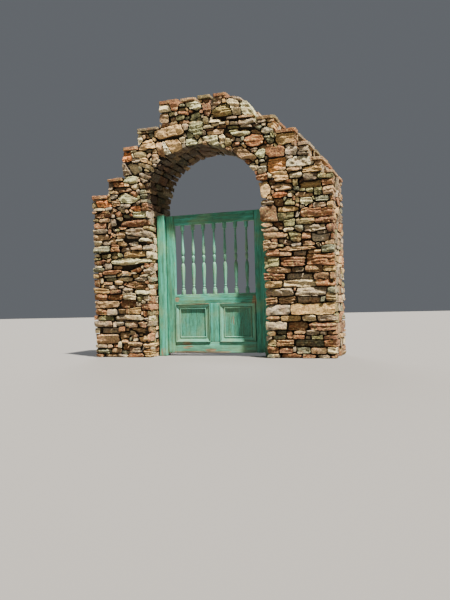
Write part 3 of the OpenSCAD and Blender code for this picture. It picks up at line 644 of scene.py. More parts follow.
def lookup(field, p):
    """Reads a field of the grid between its points."""
    i = np.clip((p[..., 0] - GRID_X[0]) / CELL, 0, len(GRID_X) - 1.001)
    k = np.clip((p[..., 1] - GRID_Z[0]) / CELL, 0, len(GRID_Z) - 1.001)
    i0, k0 = i.astype(int), k.astype(int)
    i, k = i - i0, k - k0
    return ((field[i0, k0] * (1 - i) + field[i0 + 1, k0] * i) * (1 - k)
            + (field[i0, k0 + 1] * (1 - i) + field[i0 + 1, k0 + 1] * i) * k)


def fit(place, number, inset, joint_width, bed_gap):
    """Finds the outline of a laid stone: its middle, its axes and three loops, from the front to the back."""
    part, hull = place["part"], place["hull"]
    here = grid[part]
    away = reach_of(here, hull)
    rival = np.where(owner[part] == number, second[part], nearest[part])
    inside = np.maximum.reduce([away - rival + joint_width, away - GROW, masonry[part] + inset]) < 0
    if inside.sum() < FEWEST_CELLS:
        return None
    spots = here[inside]
    middle = spots.mean(0)
    # Its long axis, or level where it is nearly as high as it is long
    values, vectors = np.linalg.eigh(np.cov((spots - middle).T))
    axis = vectors[:, 1] * (1 if vectors[0, 1] > 0 else -1)
    if values[1] < NEARLY_ROUND * values[0]:
        axis = np.array([1.0, 0.0])
    across = np.array([-axis[1], axis[0]])
    half = np.array([np.abs((spots - middle) @ axis).max(), np.abs((spots - middle) @ across).max()])
    # Its outline is where rays from the middle meet a neighbour, the most it may grow, or the wall's edge
    rival_field = np.where(owner == number, second, nearest)
    angle = np.arange(AROUND) / AROUND * 2 * math.pi
    ray = (np.cos(angle)[:, None] * axis * half[0] + np.sin(angle)[:, None] * across * half[1])
    reach = np.linspace(0.05, 3.4, 200)
    p = middle + reach[:, None, None] * ray
    away = reach_of(p, hull)
    joint = np.maximum(away - lookup(rival_field, p) + joint_width, away - GROW)
    joint = np.maximum(joint, ABOVE_FLOOR - p[..., 1])
    loops = []
    for level in range(3):
        value = np.maximum(joint, outline(p, level) + inset)
        stop = np.argmax(value > 0, axis=0)
        stop = np.where((value > 0).any(0), np.maximum(stop, 1), len(reach) - 1)
        column = np.arange(AROUND)
        before, after = value[stop - 1, column], value[stop, column]
        share = np.clip(-before / np.where(after - before == 0, 1, after - before), 0, 1)
        length = reach[stop - 1] + share * (reach[stop] - reach[stop - 1])
        length = 0.06 * np.roll(length, 1) + 0.88 * length + 0.06 * np.roll(length, -1)
        loops.append(middle + length[:, None] * ray)
    # Notches all round, then a wider joint above and below
    loops = np.array(loops)
    ragged = lumps(np.dstack([loops, np.full(loops.shape[:2], 0.5)]), NOTCH_SIZE, number)
    loops = middle + (loops - middle) * (1 - NOTCH_DEPTH * (1 + ragged)[..., None] / max(half[1], 0.03))
    half_height = max(np.ptp(loops[..., 1]) / 2, 0.02)
    loops[..., 1] = middle[1] + (loops[..., 1] - middle[1]) * (1 - bed_gap / half_height)
    loops[..., 1] = np.maximum(loops[..., 1], ABOVE_FLOOR)
    edge = outline(loops[1], 1).max()
    wide = loops[0] - middle
    half = np.maximum(half, [np.abs(wide @ axis).max(), np.abs(wide @ across).max()])
    return {"middle": middle, "half": half, "loops": loops, "edge": edge}


def lines(count, size, rim):
    """Grid lines from -1 to 1, close together at the rim."""
    near = [1 - min(0.12, 0.35 * rim / size), 1 - min(0.32, 1.1 * rim / size)]
    inner = np.linspace(-near[1], near[1], max(count - 3, 2))
    return np.concatenate([[-1, -near[0]], inner, [near[0], 1]])


# Lumps on a broken face: the size of each kind, how much it adds and which pattern it takes
LUMPS = ((0.062, 0.30, 0), (0.027, 0.38, 5), (0.013, 0.22, 7))
HOLLOW_SIZE, HOLLOW_DEPTH, SUNK = 0.045, 0.4, 0.15
# How many stones show split beds, how thick those are and how far they step
BEDDED_SHARE, BED_THICK, BED_STEP = 0.85, (0.008, 0.022), 0.75


def rough_stone(loop_at, middle, half, depth, rings, rim, mesh_size, seed, tilt, rough, taper=0.0, chips=3):
    """The skin of one stone: a broken face, flanks and a closed back, in two sideways axes and a depth."""
    draw = np.random.default_rng(seed)
    a, b = half
    u = lines(int(np.clip(2 * a / (1.35 * mesh_size), 4, 26)) + 1, a, rim)
    v = lines(int(np.clip(2 * b / (0.78 * mesh_size), 3, 22)) + 1, b, rim)
    n, m = len(u) - 1, len(v) - 1
    U, V = np.meshgrid(u, v, indexing="ij")
    level = np.maximum(np.abs(U), np.abs(V)).ravel()
    turn = (np.arctan2(V, U) / (2 * math.pi) % 1).ravel() * AROUND
    low = turn.astype(int) % AROUND
    share = (turn % 1)[:, None]

    def rim_at(t, pick=slice(None)):
        loop = loop_at(t)
        return loop[low[pick]] * (1 - share[pick]) + loop[(low[pick] + 1) % AROUND] * share[pick]

    # The face is rounded off at its rim, leans, and is chipped by planes from all sides
    flat = middle + level[:, None] * (rim_at(0.0) - middle)
    near_u = np.clip(1 - (1 - np.abs(U)) * a / rim, 0, 1).ravel()
    near_v = np.clip(1 - (1 - np.abs(V)) * b / rim, 0, 1).ravel()
    near = np.minimum(np.hypot(near_u, near_v), 1)
    drop = rim * (1 - np.sqrt(1 - near ** 2))
    local = flat - middle
    drop = drop + local @ tilt
    for chip in range(chips):
        if chip % 2:
            bearing = draw.uniform(0, 2 * math.pi)
        else:
            bearing = draw.choice([-1, 1]) * math.pi / 2 + draw.normal(0, 0.35)
        way = np.array([math.cos(bearing), math.sin(bearing) * (a / b) ** 0.5])
        way /= np.linalg.norm(way)
        far = (local @ way).max()
        cut = (local @ way - draw.uniform(0.1, 0.85) * far) * draw.uniform(0.08, 0.55)
        drop = np.maximum(drop, np.minimum(cut, 0.006 + 0.28 * min(b, 0.06)) + drop * 0.5)
    face = np.column_stack([flat, drop])
    # The flanks run back from its rim in rings that narrow towards the back
    walk = [(i, 0) for i in range(n)] + [(n, j) for j in range(m)]
    walk += [(i, m) for i in range(n, 0, -1)] + [(0, j) for j in range(m, 0, -1)]
    border = np.array([i * (m + 1) + j for i, j in walk])
    start = drop[border]
    flanks = []
    for t in rings:
        share_in = t / rings[-1]
        at = rim_at(rim + t, border)
        back = min(1.0, max(0.0, (t - rings[-1] + 0.5 * rim) / (0.5 * rim)))
        shrink = 1 - taper * share_in - 0.5 * rim / max(b, 0.02) * back ** 2
        at = middle + (at - middle) * max(shrink, 0.5)
        flanks.append(np.column_stack([at, start + (depth - start) * (rim + t) / (rim + rings[-1])]))
    points = np.vstack([face] + flanks)
    # Lumps of four sizes, and on most stones the steps of split beds
    outward = points - np.array([middle[0], middle[1], depth * 0.45])
    outward[:, 2] *= np.concatenate([np.ones(len(face)), np.zeros(len(points) - len(face))])
    outward[:len(face), :2] *= near[:, None] ** 2
    size = np.linalg.norm(outward, axis=1)
    outward /= np.maximum(size, 1e-6)[:, None]
    bump = sum(share * lumps(points, size, seed + pattern) for size, share, pattern in LUMPS)
    bump = rough * (bump - HOLLOW_DEPTH * np.abs(lumps(points, HOLLOW_SIZE, seed + 9)))
    if draw.random() < BEDDED_SHARE:
        thick = draw.uniform(*BED_THICK)
        bed = points[:, 1] + 0.02 * lumps(points, 0.11, seed + 2)
        shelf = lumps(np.column_stack([np.floor(bed / thick) * 7.3, bed * 0, bed * 0]), 1.0, seed)
        bump = bump + BED_STEP * rough * shelf
    points = points + outward * (bump - SUNK * rough)[:, None]
    points = np.vstack([points, [middle[0], middle[1], depth]])
    quads = []
    for i in range(n):
        for j in range(m):
            c = i * (m + 1) + j
            quads.append((c, c + 1, c + m + 2, c + m + 1))
    # The last ring closes in a fan on one point at the back
    rim_count = len(border)
    before = border
    for r in range(len(rings)):
        after = len(face) + r * rim_count + np.arange(rim_count)
        quads += list(zip(before, np.roll(before, -1), np.roll(after, -1), after))
        before = after
    fans = [(p, q, len(points) - 1) for p, q in zip(before, np.roll(before, -1))]
    # Painted shade: the face darkens towards its rim, the flanks the deeper they run into the joint, and the
    # back point fully
    flank_shade_paint = [np.full(rim_count, min(1.0, 0.35 + (rim + t) / 0.018)) for t in rings]
    painted_shade = np.concatenate([0.36 * near ** 4] + flank_shade_paint + [[1.0]])
    return points, quads, fans, painted_shade, len(face)


# Where the stones of each piece end, a hair inside the solids
PILE_BOX = ((-1.4115, 1.4115), (-0.3215, 0.3215), (0.0, 2.8495))


class Pile:
    """Stones gathered into one mesh, with their tones."""
    def __init__(self):
        self.points, self.faces, self.tones, self.marks, self.count = [], [], [], [], 0

    def add(self, points, quads, fans, tone, mark, painted_shade, flip):
        """Takes a stone in, with its tone, a number of its own and the painted shade at each point, heavier
        where it is more hidden.
        """
        for face in list(quads) + list(fans):
            face = tuple(int(c) + self.count for c in face)
            self.faces.append(face[::-1] if flip else face)
        self.points.append(points)
        self.tones.append(np.tile(tone, (len(points), 1)))
        self.marks.append(np.column_stack([np.full(len(points), mark), painted_shade, np.zeros(len(points))]))
        self.count += len(points)

    def piece(self, name, material, sharp=27):
        """Makes one piece of the stones; edges sharper than an angle in degrees stay sharp."""
        mesh = bpy.data.meshes.new(name)
        points = np.vstack(self.points)
        for axis, (low, high) in enumerate(PILE_BOX):
            points[:, axis] = np.clip(points[:, axis], low, high)
        mesh.from_pydata(points.tolist(), [], self.faces)
        tone = mesh.attributes.new("tone", "FLOAT_COLOR", "POINT")
        tone.data.foreach_set("color", np.column_stack([np.vstack(self.tones), np.ones(self.count)]).ravel())
        mark = mesh.attributes.new("mark", "FLOAT_VECTOR", "POINT")
        mark.data.foreach_set("vector", np.vstack(self.marks).ravel())
        mesh.materials.append(material)
        mesh.polygons.foreach_set("use_smooth", [True] * len(mesh.polygons))
        mesh.set_sharp_from_angle(angle=math.radians(sharp))
        piece = bpy.data.objects.new(name, mesh)
        bpy.context.scene.collection.objects.link(piece)
        return piece


# The keystone's angles, the outer radii of the keystone and of the ring, and where the crown begins
KEY_FROM, KEY_TO, KEY_OUTER, RING_OUTER, CROWN_FROM = 86.8, 100.4, 0.97, 0.83, 2.34


def region_of(p):
    """The part of the wall that a stone belongs to."""
    x, z = p
    radius, angle = math.hypot(x, z - SPRING), math.degrees(math.atan2(z - SPRING, x))
    if z > SPRING and KEY_FROM < angle < KEY_TO and radius < KEY_OUTER:
        return "keystone"
    if z > SPRING and radius < RING_OUTER:
        return "right_arch_stones" if angle < 90 else "left_arch_stones"
    side = "left" if x < 0 else "right"
    if z < SPRING:
        return side + "_pier"
    return side + "_haunch" if z < CROWN_FROM else "crown_wall"


piles = {}
draw = np.random.default_rng(5)
# How far stones are set back from the face and how often, then the most allowed inside and at an edge
RECESS, RECESS_ODDS = [0.0, 0.006, 0.013, 0.022, 0.033, 0.045], [0.22, 0.2, 0.2, 0.17, 0.13, 0.08]
DEEPEST_SET, DEEPEST_AT_EDGE, EDGE_BAND, LARGE_STONE = 0.045, 0.012, 0.022, 0.05
# How far out the arch ring's bared flanks take heavy painted shade, that shade, and the light painted shade
# elsewhere
SOFFIT_SHADE_RADIUS, PAINTED_SOFFIT_SHADE, PAINTED_FLANK_SHADE = 0.9, 0.72, 0.12
# Mesh sizes below the springing and above it, and how much coarser the back is
MESH_LOW, MESH_HIGH, COARSER_BACK = 0.0118, 0.0100, 1.25
# Painted light: how bright stones are painted below a height, and above it
DIMMER, BRIGHTER, BRIGHTER_FROM = 0.97, 1.12, 2.1
for number, place in enumerate(laid):
    if place["tone"] == "deep":
        continue
    inset, joint_width = draw.uniform(0.0, 0.012), draw.uniform(0.0028, 0.0060)
    spot = fit(place, number, inset, joint_width, bed_gap=draw.uniform(0.0, 0.004))
    if spot is None:
        continue
    pile = piles.setdefault(region_of(spot["middle"]), Pile())
    middle, half, loops = spot["middle"], np.array(spot["half"]), spot["loops"]
    at_edge = spot["edge"] > -EDGE_BAND
    rim = float(np.clip(0.10 * half.min(), 0.002, 0.005)) * draw.uniform(0.7, 1.3)
    tone = np.array(paint_chip(*TONES[place["tone"]])[:3])
    set_back = np.array([draw.choice(RECESS, p=RECESS_ODDS) for side in range(2)])
    front, back = WALL_FACE - np.minimum(set_back, DEEPEST_AT_EDGE if at_edge else DEEPEST_SET)
    grain_size = MESH_LOW if middle[1] < SPRING else MESH_HIGH
    reach = draw.uniform(0.10, 0.25, 2) if at_edge else (0.10, 0.10)
    for order, (face_y, way) in enumerate(((-front, 1), (back, -1))):
        depth = reach[order]
        if at_edge:
            rings, taper = np.linspace(0, depth - rim, max(3, int(depth / 0.035))), 0.03
        else:
            rings, taper = np.array([0.0, 0.020, depth - rim]), 0.22

        def loop_at(t, way=way, face_y=face_y):
            """The stone's outline at a depth t behind its face."""
            through = np.clip((face_y + way * t + WALL_FACE) / (2 * WALL_FACE), 0, 1)
            if through < 0.33:
                return loops[0] + (loops[1] - loops[0]) * min(1, through / 0.30)
            return loops[1] + (loops[2] - loops[1]) * max(0, through - 0.6) / 0.4

        tilt = draw.normal(0, 1, 2) * (0.08, 0.16)
        rough = draw.uniform(0.009, 0.017) * min(1, half.min() / 0.04)
        seed = number * 5 + order + 1
        mesh_size = grain_size * (1 if way > 0 else COARSER_BACK)
        chips = 2 if half.min() > LARGE_STONE else 4
        points, quads, fans, painted_shade, flank = rough_stone(loop_at, middle, half, depth, rings, rim, mesh_size,
                                                         seed, tilt, rough, taper, chips)
        # Bared flanks take painted shade: heavy in the soffit of the arch ring, light elsewhere, and darker
        # towards their inner end
        bared = np.maximum(outline(points[:, :2], 0), outline(points[:, :2], 2)) > -0.020
        inner_end_shade = 0.7 * np.clip((points[:, 2] - depth + 0.016) / 0.016, 0, 1)
        in_ring = middle[1] > SPRING and np.hypot(middle[0], middle[1] - SPRING) < SOFFIT_SHADE_RADIUS
        bared_flank_shade = PAINTED_SOFFIT_SHADE if in_ring else PAINTED_FLANK_SHADE
        bared &= np.arange(len(points)) >= flank
        painted_shade = np.where(bared, np.maximum(inner_end_shade, bared_flank_shade), painted_shade)
        if way < 0:
            shade = np.array(paint_chip(*TONES[draw.choice(COURSE_TONES)])[:3])
        else:
            shade = tone
        # Painted light: stones high on the wall are painted brighter than those below
        painted_height_light = BRIGHTER if middle[1] > BRIGHTER_FROM else DIMMER
        shade = np.clip(shade * draw.uniform(0.85, 1.12) * painted_height_light, 0, 1)
        placed = np.column_stack([points[:, 0], face_y + way * points[:, 2], points[:, 1]])
        pile.add(placed, quads, fans, shade, draw.random(), painted_shade, flip=way > 0)

# The stones that line the reveals, the soffit, the ends and the risers between the front and back faces.
# They lie in rows along the edge of the elevation, two to four from the front to the back, and have no core.
arc = np.radians(np.arange(180, -1, -6))
radii = np.interp(np.degrees(arc), ARCH_ANGLES, ARCH_MIDDLE) / 1000
OPENING = [(-JAMB, BASE), (-JAMB, 0.8)]
OPENING += [(r * math.cos(a), SPRING + r * math.sin(a)) for a, r in zip(arc, radii)]
OPENING += [(JAMB, 0.8), (JAMB, BASE)]
ROUNDED = [(SHOULDER[0] + SHOULDER[2] * math.cos(a), SHOULDER[1] + SHOULDER[2] * math.sin(a))
           for a in np.radians(np.arange(0, 91, 10))]
paths = [OPENING, ROUNDED]
below = BASE
for end, top in LEFT_STEPS:
    paths.append([(end, top), (end, below)])
    below = top
below = BASE
for end, top in RIGHT_STEPS[:5]:
    paths.append([(end, below), (end, top)])
    below = top
# Lighter tones, picked more often for the lower reveals as painted sunlight on them
SUNLIT_LOOK_TONES = ["tan", "cream", "greycream", "pinktan", "pinkcream", "creamochre", "greytan", "ochre"]
draw = np.random.default_rng(29)
circle = np.arange(AROUND) / AROUND * 2 * math.pi
square = np.column_stack([np.cos(circle), np.sin(circle)])
SQUARENESS = 9
square /= ((np.abs(square) ** SQUARENESS).sum(1) ** (1 / SQUARENESS))[:, None]
LINED_DEPTH, LAST_CUT, LEAST_ROW = 0.285, 0.15, 0.05
# Ranges of a lining stone's height, its length through the wall, its joint and how far it is set back
ROW_HEIGHTS, ROW_LENGTHS = (0.045, 0.115), (0.11, 0.27)
ROW_JOINTS, ROW_SET = (0.002, 0.006), (0.005, 0.016)
# Where the lower reveals end, whose lighter tones are painted sunlight, and where the painted shade of the
# soffit ends
REVEAL_HALF, REVEAL_TOP, SOFFIT_RADIUS = 0.75, 1.45, 0.85
for path in paths:
    path = np.array(path)
    step = np.diff(path, axis=0)
    length = np.concatenate([[0], np.cumsum(np.hypot(step[:, 0], step[:, 1]))])
    normal = np.column_stack([step[:, 1], -step[:, 0]]) / np.hypot(step[:, 0], step[:, 1])[:, None]
    normal = np.vstack([normal[:1], normal[:-1] + normal[1:], normal[-1:]])
    normal /= np.linalg.norm(normal, axis=1)[:, None]

    def along_path(run):
        """Points on the path, and the way it faces, at distances along it."""
        return [np.column_stack([np.interp(run, length, values[:, k]) for k in (0, 1)])
                for values in (path, normal)]

    low = 0.0
    while low < length[-1] - 0.02:
        high = low + draw.uniform(*ROW_HEIGHTS)
        if length[-1] - high < LEAST_ROW:
            high = length[-1]
        edges = [-LINED_DEPTH]
        while edges[-1] < LAST_CUT:
            edges.append(edges[-1] + draw.uniform(*ROW_LENGTHS))
        edges[-1] = LINED_DEPTH
        for y0, y1 in zip(edges, edges[1:]):
            gap = draw.uniform(*ROW_JOINTS)
            middle = np.array([(low + high) / 2, (y0 + y1) / 2])
            half = np.array([(high - low) / 2 - gap, (y1 - y0) / 2 - gap])
            skew = draw.uniform(-0.10, 0.10, 3)
            bend = square[:, 0] * square[:, 1]
            loop = middle + square * half * (1 + skew[0] * square[:, ::-1]) + np.outer(bend, skew[1:]) * half
            recess = draw.uniform(*ROW_SET)
            points, quads, fans, painted_shade = rough_stone(
                lambda t: loop, middle, half, depth=0.075, rings=np.array([0.0, 0.022, 0.07]), rim=0.004,
                mesh_size=0.0145, seed=int(draw.integers(1, 9999)), tilt=draw.normal(0, 0.07, 2),
                rough=draw.uniform(0.008, 0.014), taper=0.1, chips=4)[:4]
            at, out = along_path(points[:, 0])
            at = at - out * (points[:, 2] + recess)[:, None]
            on_path, facing = along_path(middle[:1])
            inside = on_path[0] - 0.05 * facing[0]
            painted_sunlit_reveal = abs(inside[0]) < REVEAL_HALF and inside[1] < REVEAL_TOP
            tone = TONES[draw.choice(SUNLIT_LOOK_TONES + COURSE_TONES if painted_sunlit_reveal else COURSE_TONES)]
            # The soffit's lining stones take the same painted shade
            if inside[1] > SPRING and math.hypot(inside[0], inside[1] - SPRING) < SOFFIT_RADIUS:
                painted_shade = np.maximum(painted_shade, PAINTED_SOFFIT_SHADE)
            shade = np.array(paint_chip(*tone)[:3]) * draw.uniform(0.70, 1.0)
            placed = np.column_stack([at[:, 0], points[:, 1], np.maximum(at[:, 1], BASE)])
            piles[region_of(inside)].add(placed, quads, fans, np.clip(shade, 0, 1), draw.random(), painted_shade,
                                         flip=False)
        low = high

# The core: packed rubble in a little dark lime mortar behind the face stones, seen only in the joints, and
# painted almost black with shade.
# It is one closed block of small cells with an uneven surface for each part of the wall.
CORE_CELL, CORE_IN, CORE_FACE = 0.03, 0.030, 0.245
core_x = np.arange(-1.395, 1.396, CORE_CELL)
core_z = np.arange(0.0, 2.85, CORE_CELL)
corner_grid = np.stack(np.meshgrid(core_x, core_z, indexing="ij"), -1)
deep = np.maximum.reduce([outline(corner_grid, level) for level in range(3)])
solid = deep < -CORE_IN
solid[:, 0] = outline(corner_grid[:, 0] + (0, 0.05), 1) < -CORE_IN
cells = solid[:-1, :-1] & solid[1:, :-1] & solid[:-1, 1:] & solid[1:, 1:]
cell_regions = {}
for i, k in zip(*np.nonzero(cells)):
    centre = (core_x[i] + CORE_CELL / 2, core_z[k] + CORE_CELL / 2)
    cell_regions.setdefault(region_of(centre), set()).add((i, k))
MORTAR = np.array(paint_chip(0.33, 0.27, 0.21)[:3])
for region, group in cell_regions.items():
    index, points, quads = {}, [], []

    def corner(i, k, side):
        """The number of a cell's corner, made on first use."""
        if (i, k, side) not in index:
            p = np.array([core_x[i], side * CORE_FACE, core_z[k]])
            wobble = lumps(np.array([p, p + 3.3, p + 7.1]), 0.05, 3)
            index[i, k, side] = len(points)
            points.append(p + (0.006 * wobble[0], 0.009 * wobble[1], 0.006 * wobble[2] * (k > 0)))
        return index[i, k, side]

    for i, k in sorted(group):
        for side in (-1, 1):
            face = [corner(i + a, k + b, side) for a, b in ((0, 0), (1, 0), (1, 1), (0, 1))]
            quads.append(face if side < 0 else face[::-1])
        for di, dk, (a, b) in ((-1, 0, ((0, 1), (0, 0))), (1, 0, ((1, 0), (1, 1))),
                               (0, -1, ((0, 0), (1, 0))), (0, 1, ((1, 1), (0, 1)))):
            if (i + di, k + dk) not in group:
                quads.append([corner(i + a[0], k + a[1], -1), corner(i + a[0], k + a[1], 1),
                              corner(i + b[0], k + b[1], 1), corner(i + b[0], k + b[1], -1)])
    points = np.array(points)
    # The core takes heavy painted shade
    piles[region].add(points, quads, [], MORTAR, 0.5, np.full(len(points), 0.85), flip=False)

# The finish of the fieldstone: each stone's own tone under stains, rust, cream patches and thin dark beds,
# and painted shade.
# The tone, a number of its own and the amount of painted shade come with each stone, so the pattern never
# runs on from one to the next.
stone = Finish("fieldstone")
own = stone.node("Attribute", {"attribute_name": "tone"})
own_mark = stone.node("Attribute", {"attribute_name": "mark"}, out=1)
place = stone.node("TexCoord", out=3)
mark_number = stone.node("SeparateXYZ", Vector=own_mark)
painted_shade_amount = stone.node("SeparateXYZ", out=1, Vector=own_mark)
shift = stone.node("CombineXYZ", X=mark_number * 31.0, Y=mark_number * 17.0, Z=mark_number * 53.0)
spot = stone.node("VectorMath", {"operation": "ADD"}, _0=place, _1=shift)
bedded = stone.node("VectorMath", {"operation": "MULTIPLY"}, _0=spot, _1=(1.0, 1.0, 1.9))
broad = stone.noise(spot, 8.0, 4.0)
stain = stone.noise(bedded, 17.0, 6.0, 0.66)
blotch = stone.noise(spot, 52.0, 6.0, 0.72)
lichen = stone.noise(spot, 22.0, 6.0, 0.72)
layers = stone.noise(bedded, 30.0, 7.0, 0.74)
speck = stone.noise(spot, 150.0, 3.0, 0.7)
pits = stone.noise(spot, 62.0, 5.0, 0.65)
colour = stone.blend(0.12, own, paint_chip(0.52, 0.46, 0.32))
colour = stone.blend(stone.step(broad, 0.50, 0.62) * 0.36, colour, paint_chip(0.54, 0.31, 0.12))
colour = stone.blend(stone.step(lichen, 0.55, 0.62) * 0.40, colour, paint_chip(0.60, 0.55, 0.30))
colour = stone.blend(stone.step(blotch, 0.53, 0.66) * 0.55, colour, paint_chip(0.90, 0.82, 0.58))
colour = stone.blend(stone.step(stain, 0.48, 0.34) * 0.50, colour, paint_chip(0.19, 0.14, 0.09))
colour = stone.blend(stone.step(blotch, 0.46, 0.34) * 0.66, colour, paint_chip(0.12, 0.09, 0.06))
shade = stone.node("ValToRGB", {"stops": [(0.28, (0.22, 0.20, 0.18, 1)), (0.46, (0.92, 0.90, 0.87, 1)),
                                          (0.68, (1.95, 1.84, 1.62, 1))]}, Fac=layers)
colour = stone.blend(0.80, colour, shade, "MULTIPLY")
grit = stone.node("ValToRGB", {"stops": [(0.3, (0.6, 0.6, 0.6, 1)), (0.7, (1.35, 1.35, 1.35, 1))]}, Fac=speck)
colour = stone.blend(0.8, colour, grit, "MULTIPLY")
# Painted shade: the amount that comes with each point darkens the stone towards near black
colour = stone.blend(stone.step(painted_shade_amount, 0.20, 0.95) * 0.90, colour, paint_chip(0.065, 0.048, 0.035))
colour = stone.blend(1.0, colour, (0.93, 0.965, 0.955, 1), "MULTIPLY")
relief = layers + pits * 0.7 + speck * 0.16
stone.done(colour, 0.93, relief, depth=0.014)

for region, pile in piles.items():
    piece = pile.piece(region + "_rubble", stone.material)
    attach(piece, "wall")
    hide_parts(region)
    "arch_stone" if "arch" in region or region == "keystone" else "wall_stone"


# The flat capping stones on the steps and the crown: thin slabs split along their beds and laid dry,
# two or three of them through the wall. Each entry gives their reach, the level of the top and their number.
CAP_SLABS = {
    "left_step_slabs": [(-1.411, -1.191, 1.865, 2), (-1.201, -0.986, 2.050, 2), (-0.996, -0.791, 2.385, 2),
                        (-0.801, -0.521, 2.580, 3)],
    "right_step_slabs": [(1.296, 1.411, 1.920, 2), (1.166, 1.306, 2.060, 2), (1.021, 1.176, 2.225, 2),
                         (0.801, 1.031, 2.380, 3), (0.591, 0.811, 2.545, 2)],
    "crown_slabs": [(-0.531, -0.268, 2.850, 3), (-0.262, -0.070, 2.850, 3), (-0.064, 0.104, 2.850, 3),
                    (0.110, 0.286, 2.850, 3)]}
SLAB_TONES = ["greybrown", "tan", "rustbrown", "rustpink", "brown", "rustbrown", "olive", "pinkgrey"]
SLAB_BED, SLAB_FACE, SLAB_JOINT, SINGLE_SLAB = 0.040, 0.3215, 0.002, 0.24


def split_outline(low, high, jag):
    """Loop of a broken slab between two corners of its plan."""
    low, high = np.array(low), np.array(high)
    a, b = (high - low) / 2
    notch = draw.uniform(0.0, jag, (8, 2))
    corners = [(-a, -b * 0.8), (-a * 0.9, -b), (a * 0.85, -b), (a, -b * 0.85), (a, b * 0.8), (a * 0.85, b),
               (-a * 0.85, b), (-a, b * 0.85)]
    corners = np.array([np.array(c) * (1 - n / np.maximum((a, b), 0.02)) for c, n in zip(corners, notch)])
    hull = sides(corners)
    angle = np.arange(AROUND) / AROUND * 2 * math.pi
    ray = np.stack([np.cos(angle) * a, np.sin(angle) * b], 1)
    reach = np.linspace(0.05, 1.5, 300)
    stop = np.argmax(reach_of(reach[:, None, None] * ray, hull) > 0, axis=0)
    wave = 1 - 0.05 * np.abs(lumps(np.column_stack([ray * 1.0, np.full(AROUND, low[0] * 9)]), 0.03, 2))
    return (low + high) / 2 + (reach[stop] * wave)[:, None] * ray, (a, b)


for name, slabs in CAP_SLABS.items():
    pile = Pile()
    for x0, x1, top, across in slabs:
        cuts = np.linspace(-SLAB_FACE, SLAB_FACE, across + 1)
        cuts[1:-1] += draw.uniform(-0.04, 0.04, across - 1)
        for y0, y1 in zip(cuts[:-1], cuts[1:]):
            ends = [x0, x1]
            if x1 - x0 >= SINGLE_SLAB and y0 >= -0.3:
                ends.insert(1, x0 + (x1 - x0) * draw.uniform(0.35, 0.65))
            for a, b in zip(ends, ends[1:]):
                loop, half = split_outline((a, y0 + SLAB_JOINT), (b - SLAB_JOINT * (b < x1), y1 - SLAB_JOINT),
                                           jag=0.014)
                thick = SLAB_BED - draw.uniform(0.004, 0.018)
                points, quads, fans, painted_shade = rough_stone(
                    lambda t: loop, loop.mean(0), np.array(half), depth=thick,
                    rings=np.array([0.0, 0.007, thick - 0.008]), rim=0.003, mesh_size=0.013,
                    seed=int(draw.integers(1, 999)), tilt=draw.normal(0, 0.020, 2), rough=0.005, chips=0)[:4]
                placed = np.column_stack([points[:, 0], points[:, 1], top - SLAB_BED + thick - points[:, 2]])
                placed[:, 2] = np.clip(placed[:, 2], top - SLAB_BED, top)
                tone = np.array(paint_chip(*TONES[draw.choice(SLAB_TONES)])[:3]) * draw.uniform(0.85, 1.15)
                # The slabs take a third of the painted shade
                pile.add(placed, quads, fans, np.clip(tone, 0, 1), draw.random(), painted_shade * 0.3, flip=True)
    piece = pile.piece(name + "_split", stone.material)
    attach(piece, "wall")
    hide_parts(name)


# The two gate posts: sawn timber with a chamfered head, painted sea green long ago.
# Boards are boxes with softened, slightly worn arrises, made long side by long side.
paint = Finish("weathered sea green paint")
grain_axis = paint.node("Attribute", {"attribute_name": "grain"}, out=1)
coat = paint.node("Attribute", {"attribute_name": "coat"}, out=1)
worn = paint.node("SeparateXYZ", Vector=coat)
pale = paint.node("SeparateXYZ", out=1, Vector=coat)
grime_and_shade_amount = paint.node("SeparateXYZ", out=2, Vector=coat)
place = paint.node("TexCoord", out=3)
streak_place = paint.node("VectorMath", {"operation": "MULTIPLY"}, _0=place, _1=grain_axis)
streak = paint.noise(streak_place, 150.0, 4.0, 0.6)
broad_streak = paint.noise(streak_place, 34.0, 4.0, 0.55)
fade = paint.noise(place, 5.0, 3.0, 0.5)
flake = paint.noise(streak_place, 62.0, 6.0, 0.7)
speckle = paint.noise(place, 130.0, 4.0, 0.7)
scratch = paint.noise(streak_place, 420.0, 3.0, 0.6)
colour = paint.blend(paint.step(streak, 0.34, 0.68), paint_chip(0.12, 0.41, 0.33),
                     paint_chip(0.27, 0.62, 0.50))
colour = paint.blend(paint.step(broad_streak, 0.50, 0.66) * 0.65, colour, paint_chip(0.26, 0.68, 0.61))
colour = paint.blend(paint.step(broad_streak, 0.46, 0.34) * 0.55, colour, paint_chip(0.27, 0.38, 0.25))
colour = paint.blend(paint.step(fade, 0.48, 0.68) * 0.45, colour, paint_chip(0.46, 0.58, 0.40))
colour = paint.blend(pale * 0.5, colour, paint_chip(0.60, 0.72, 0.58))
colour = paint.blend(paint.step(scratch - grime_and_shade_amount * 0.09, 0.45, 0.30) * 0.75, colour,
                     paint_chip(0.20, 0.20, 0.11))
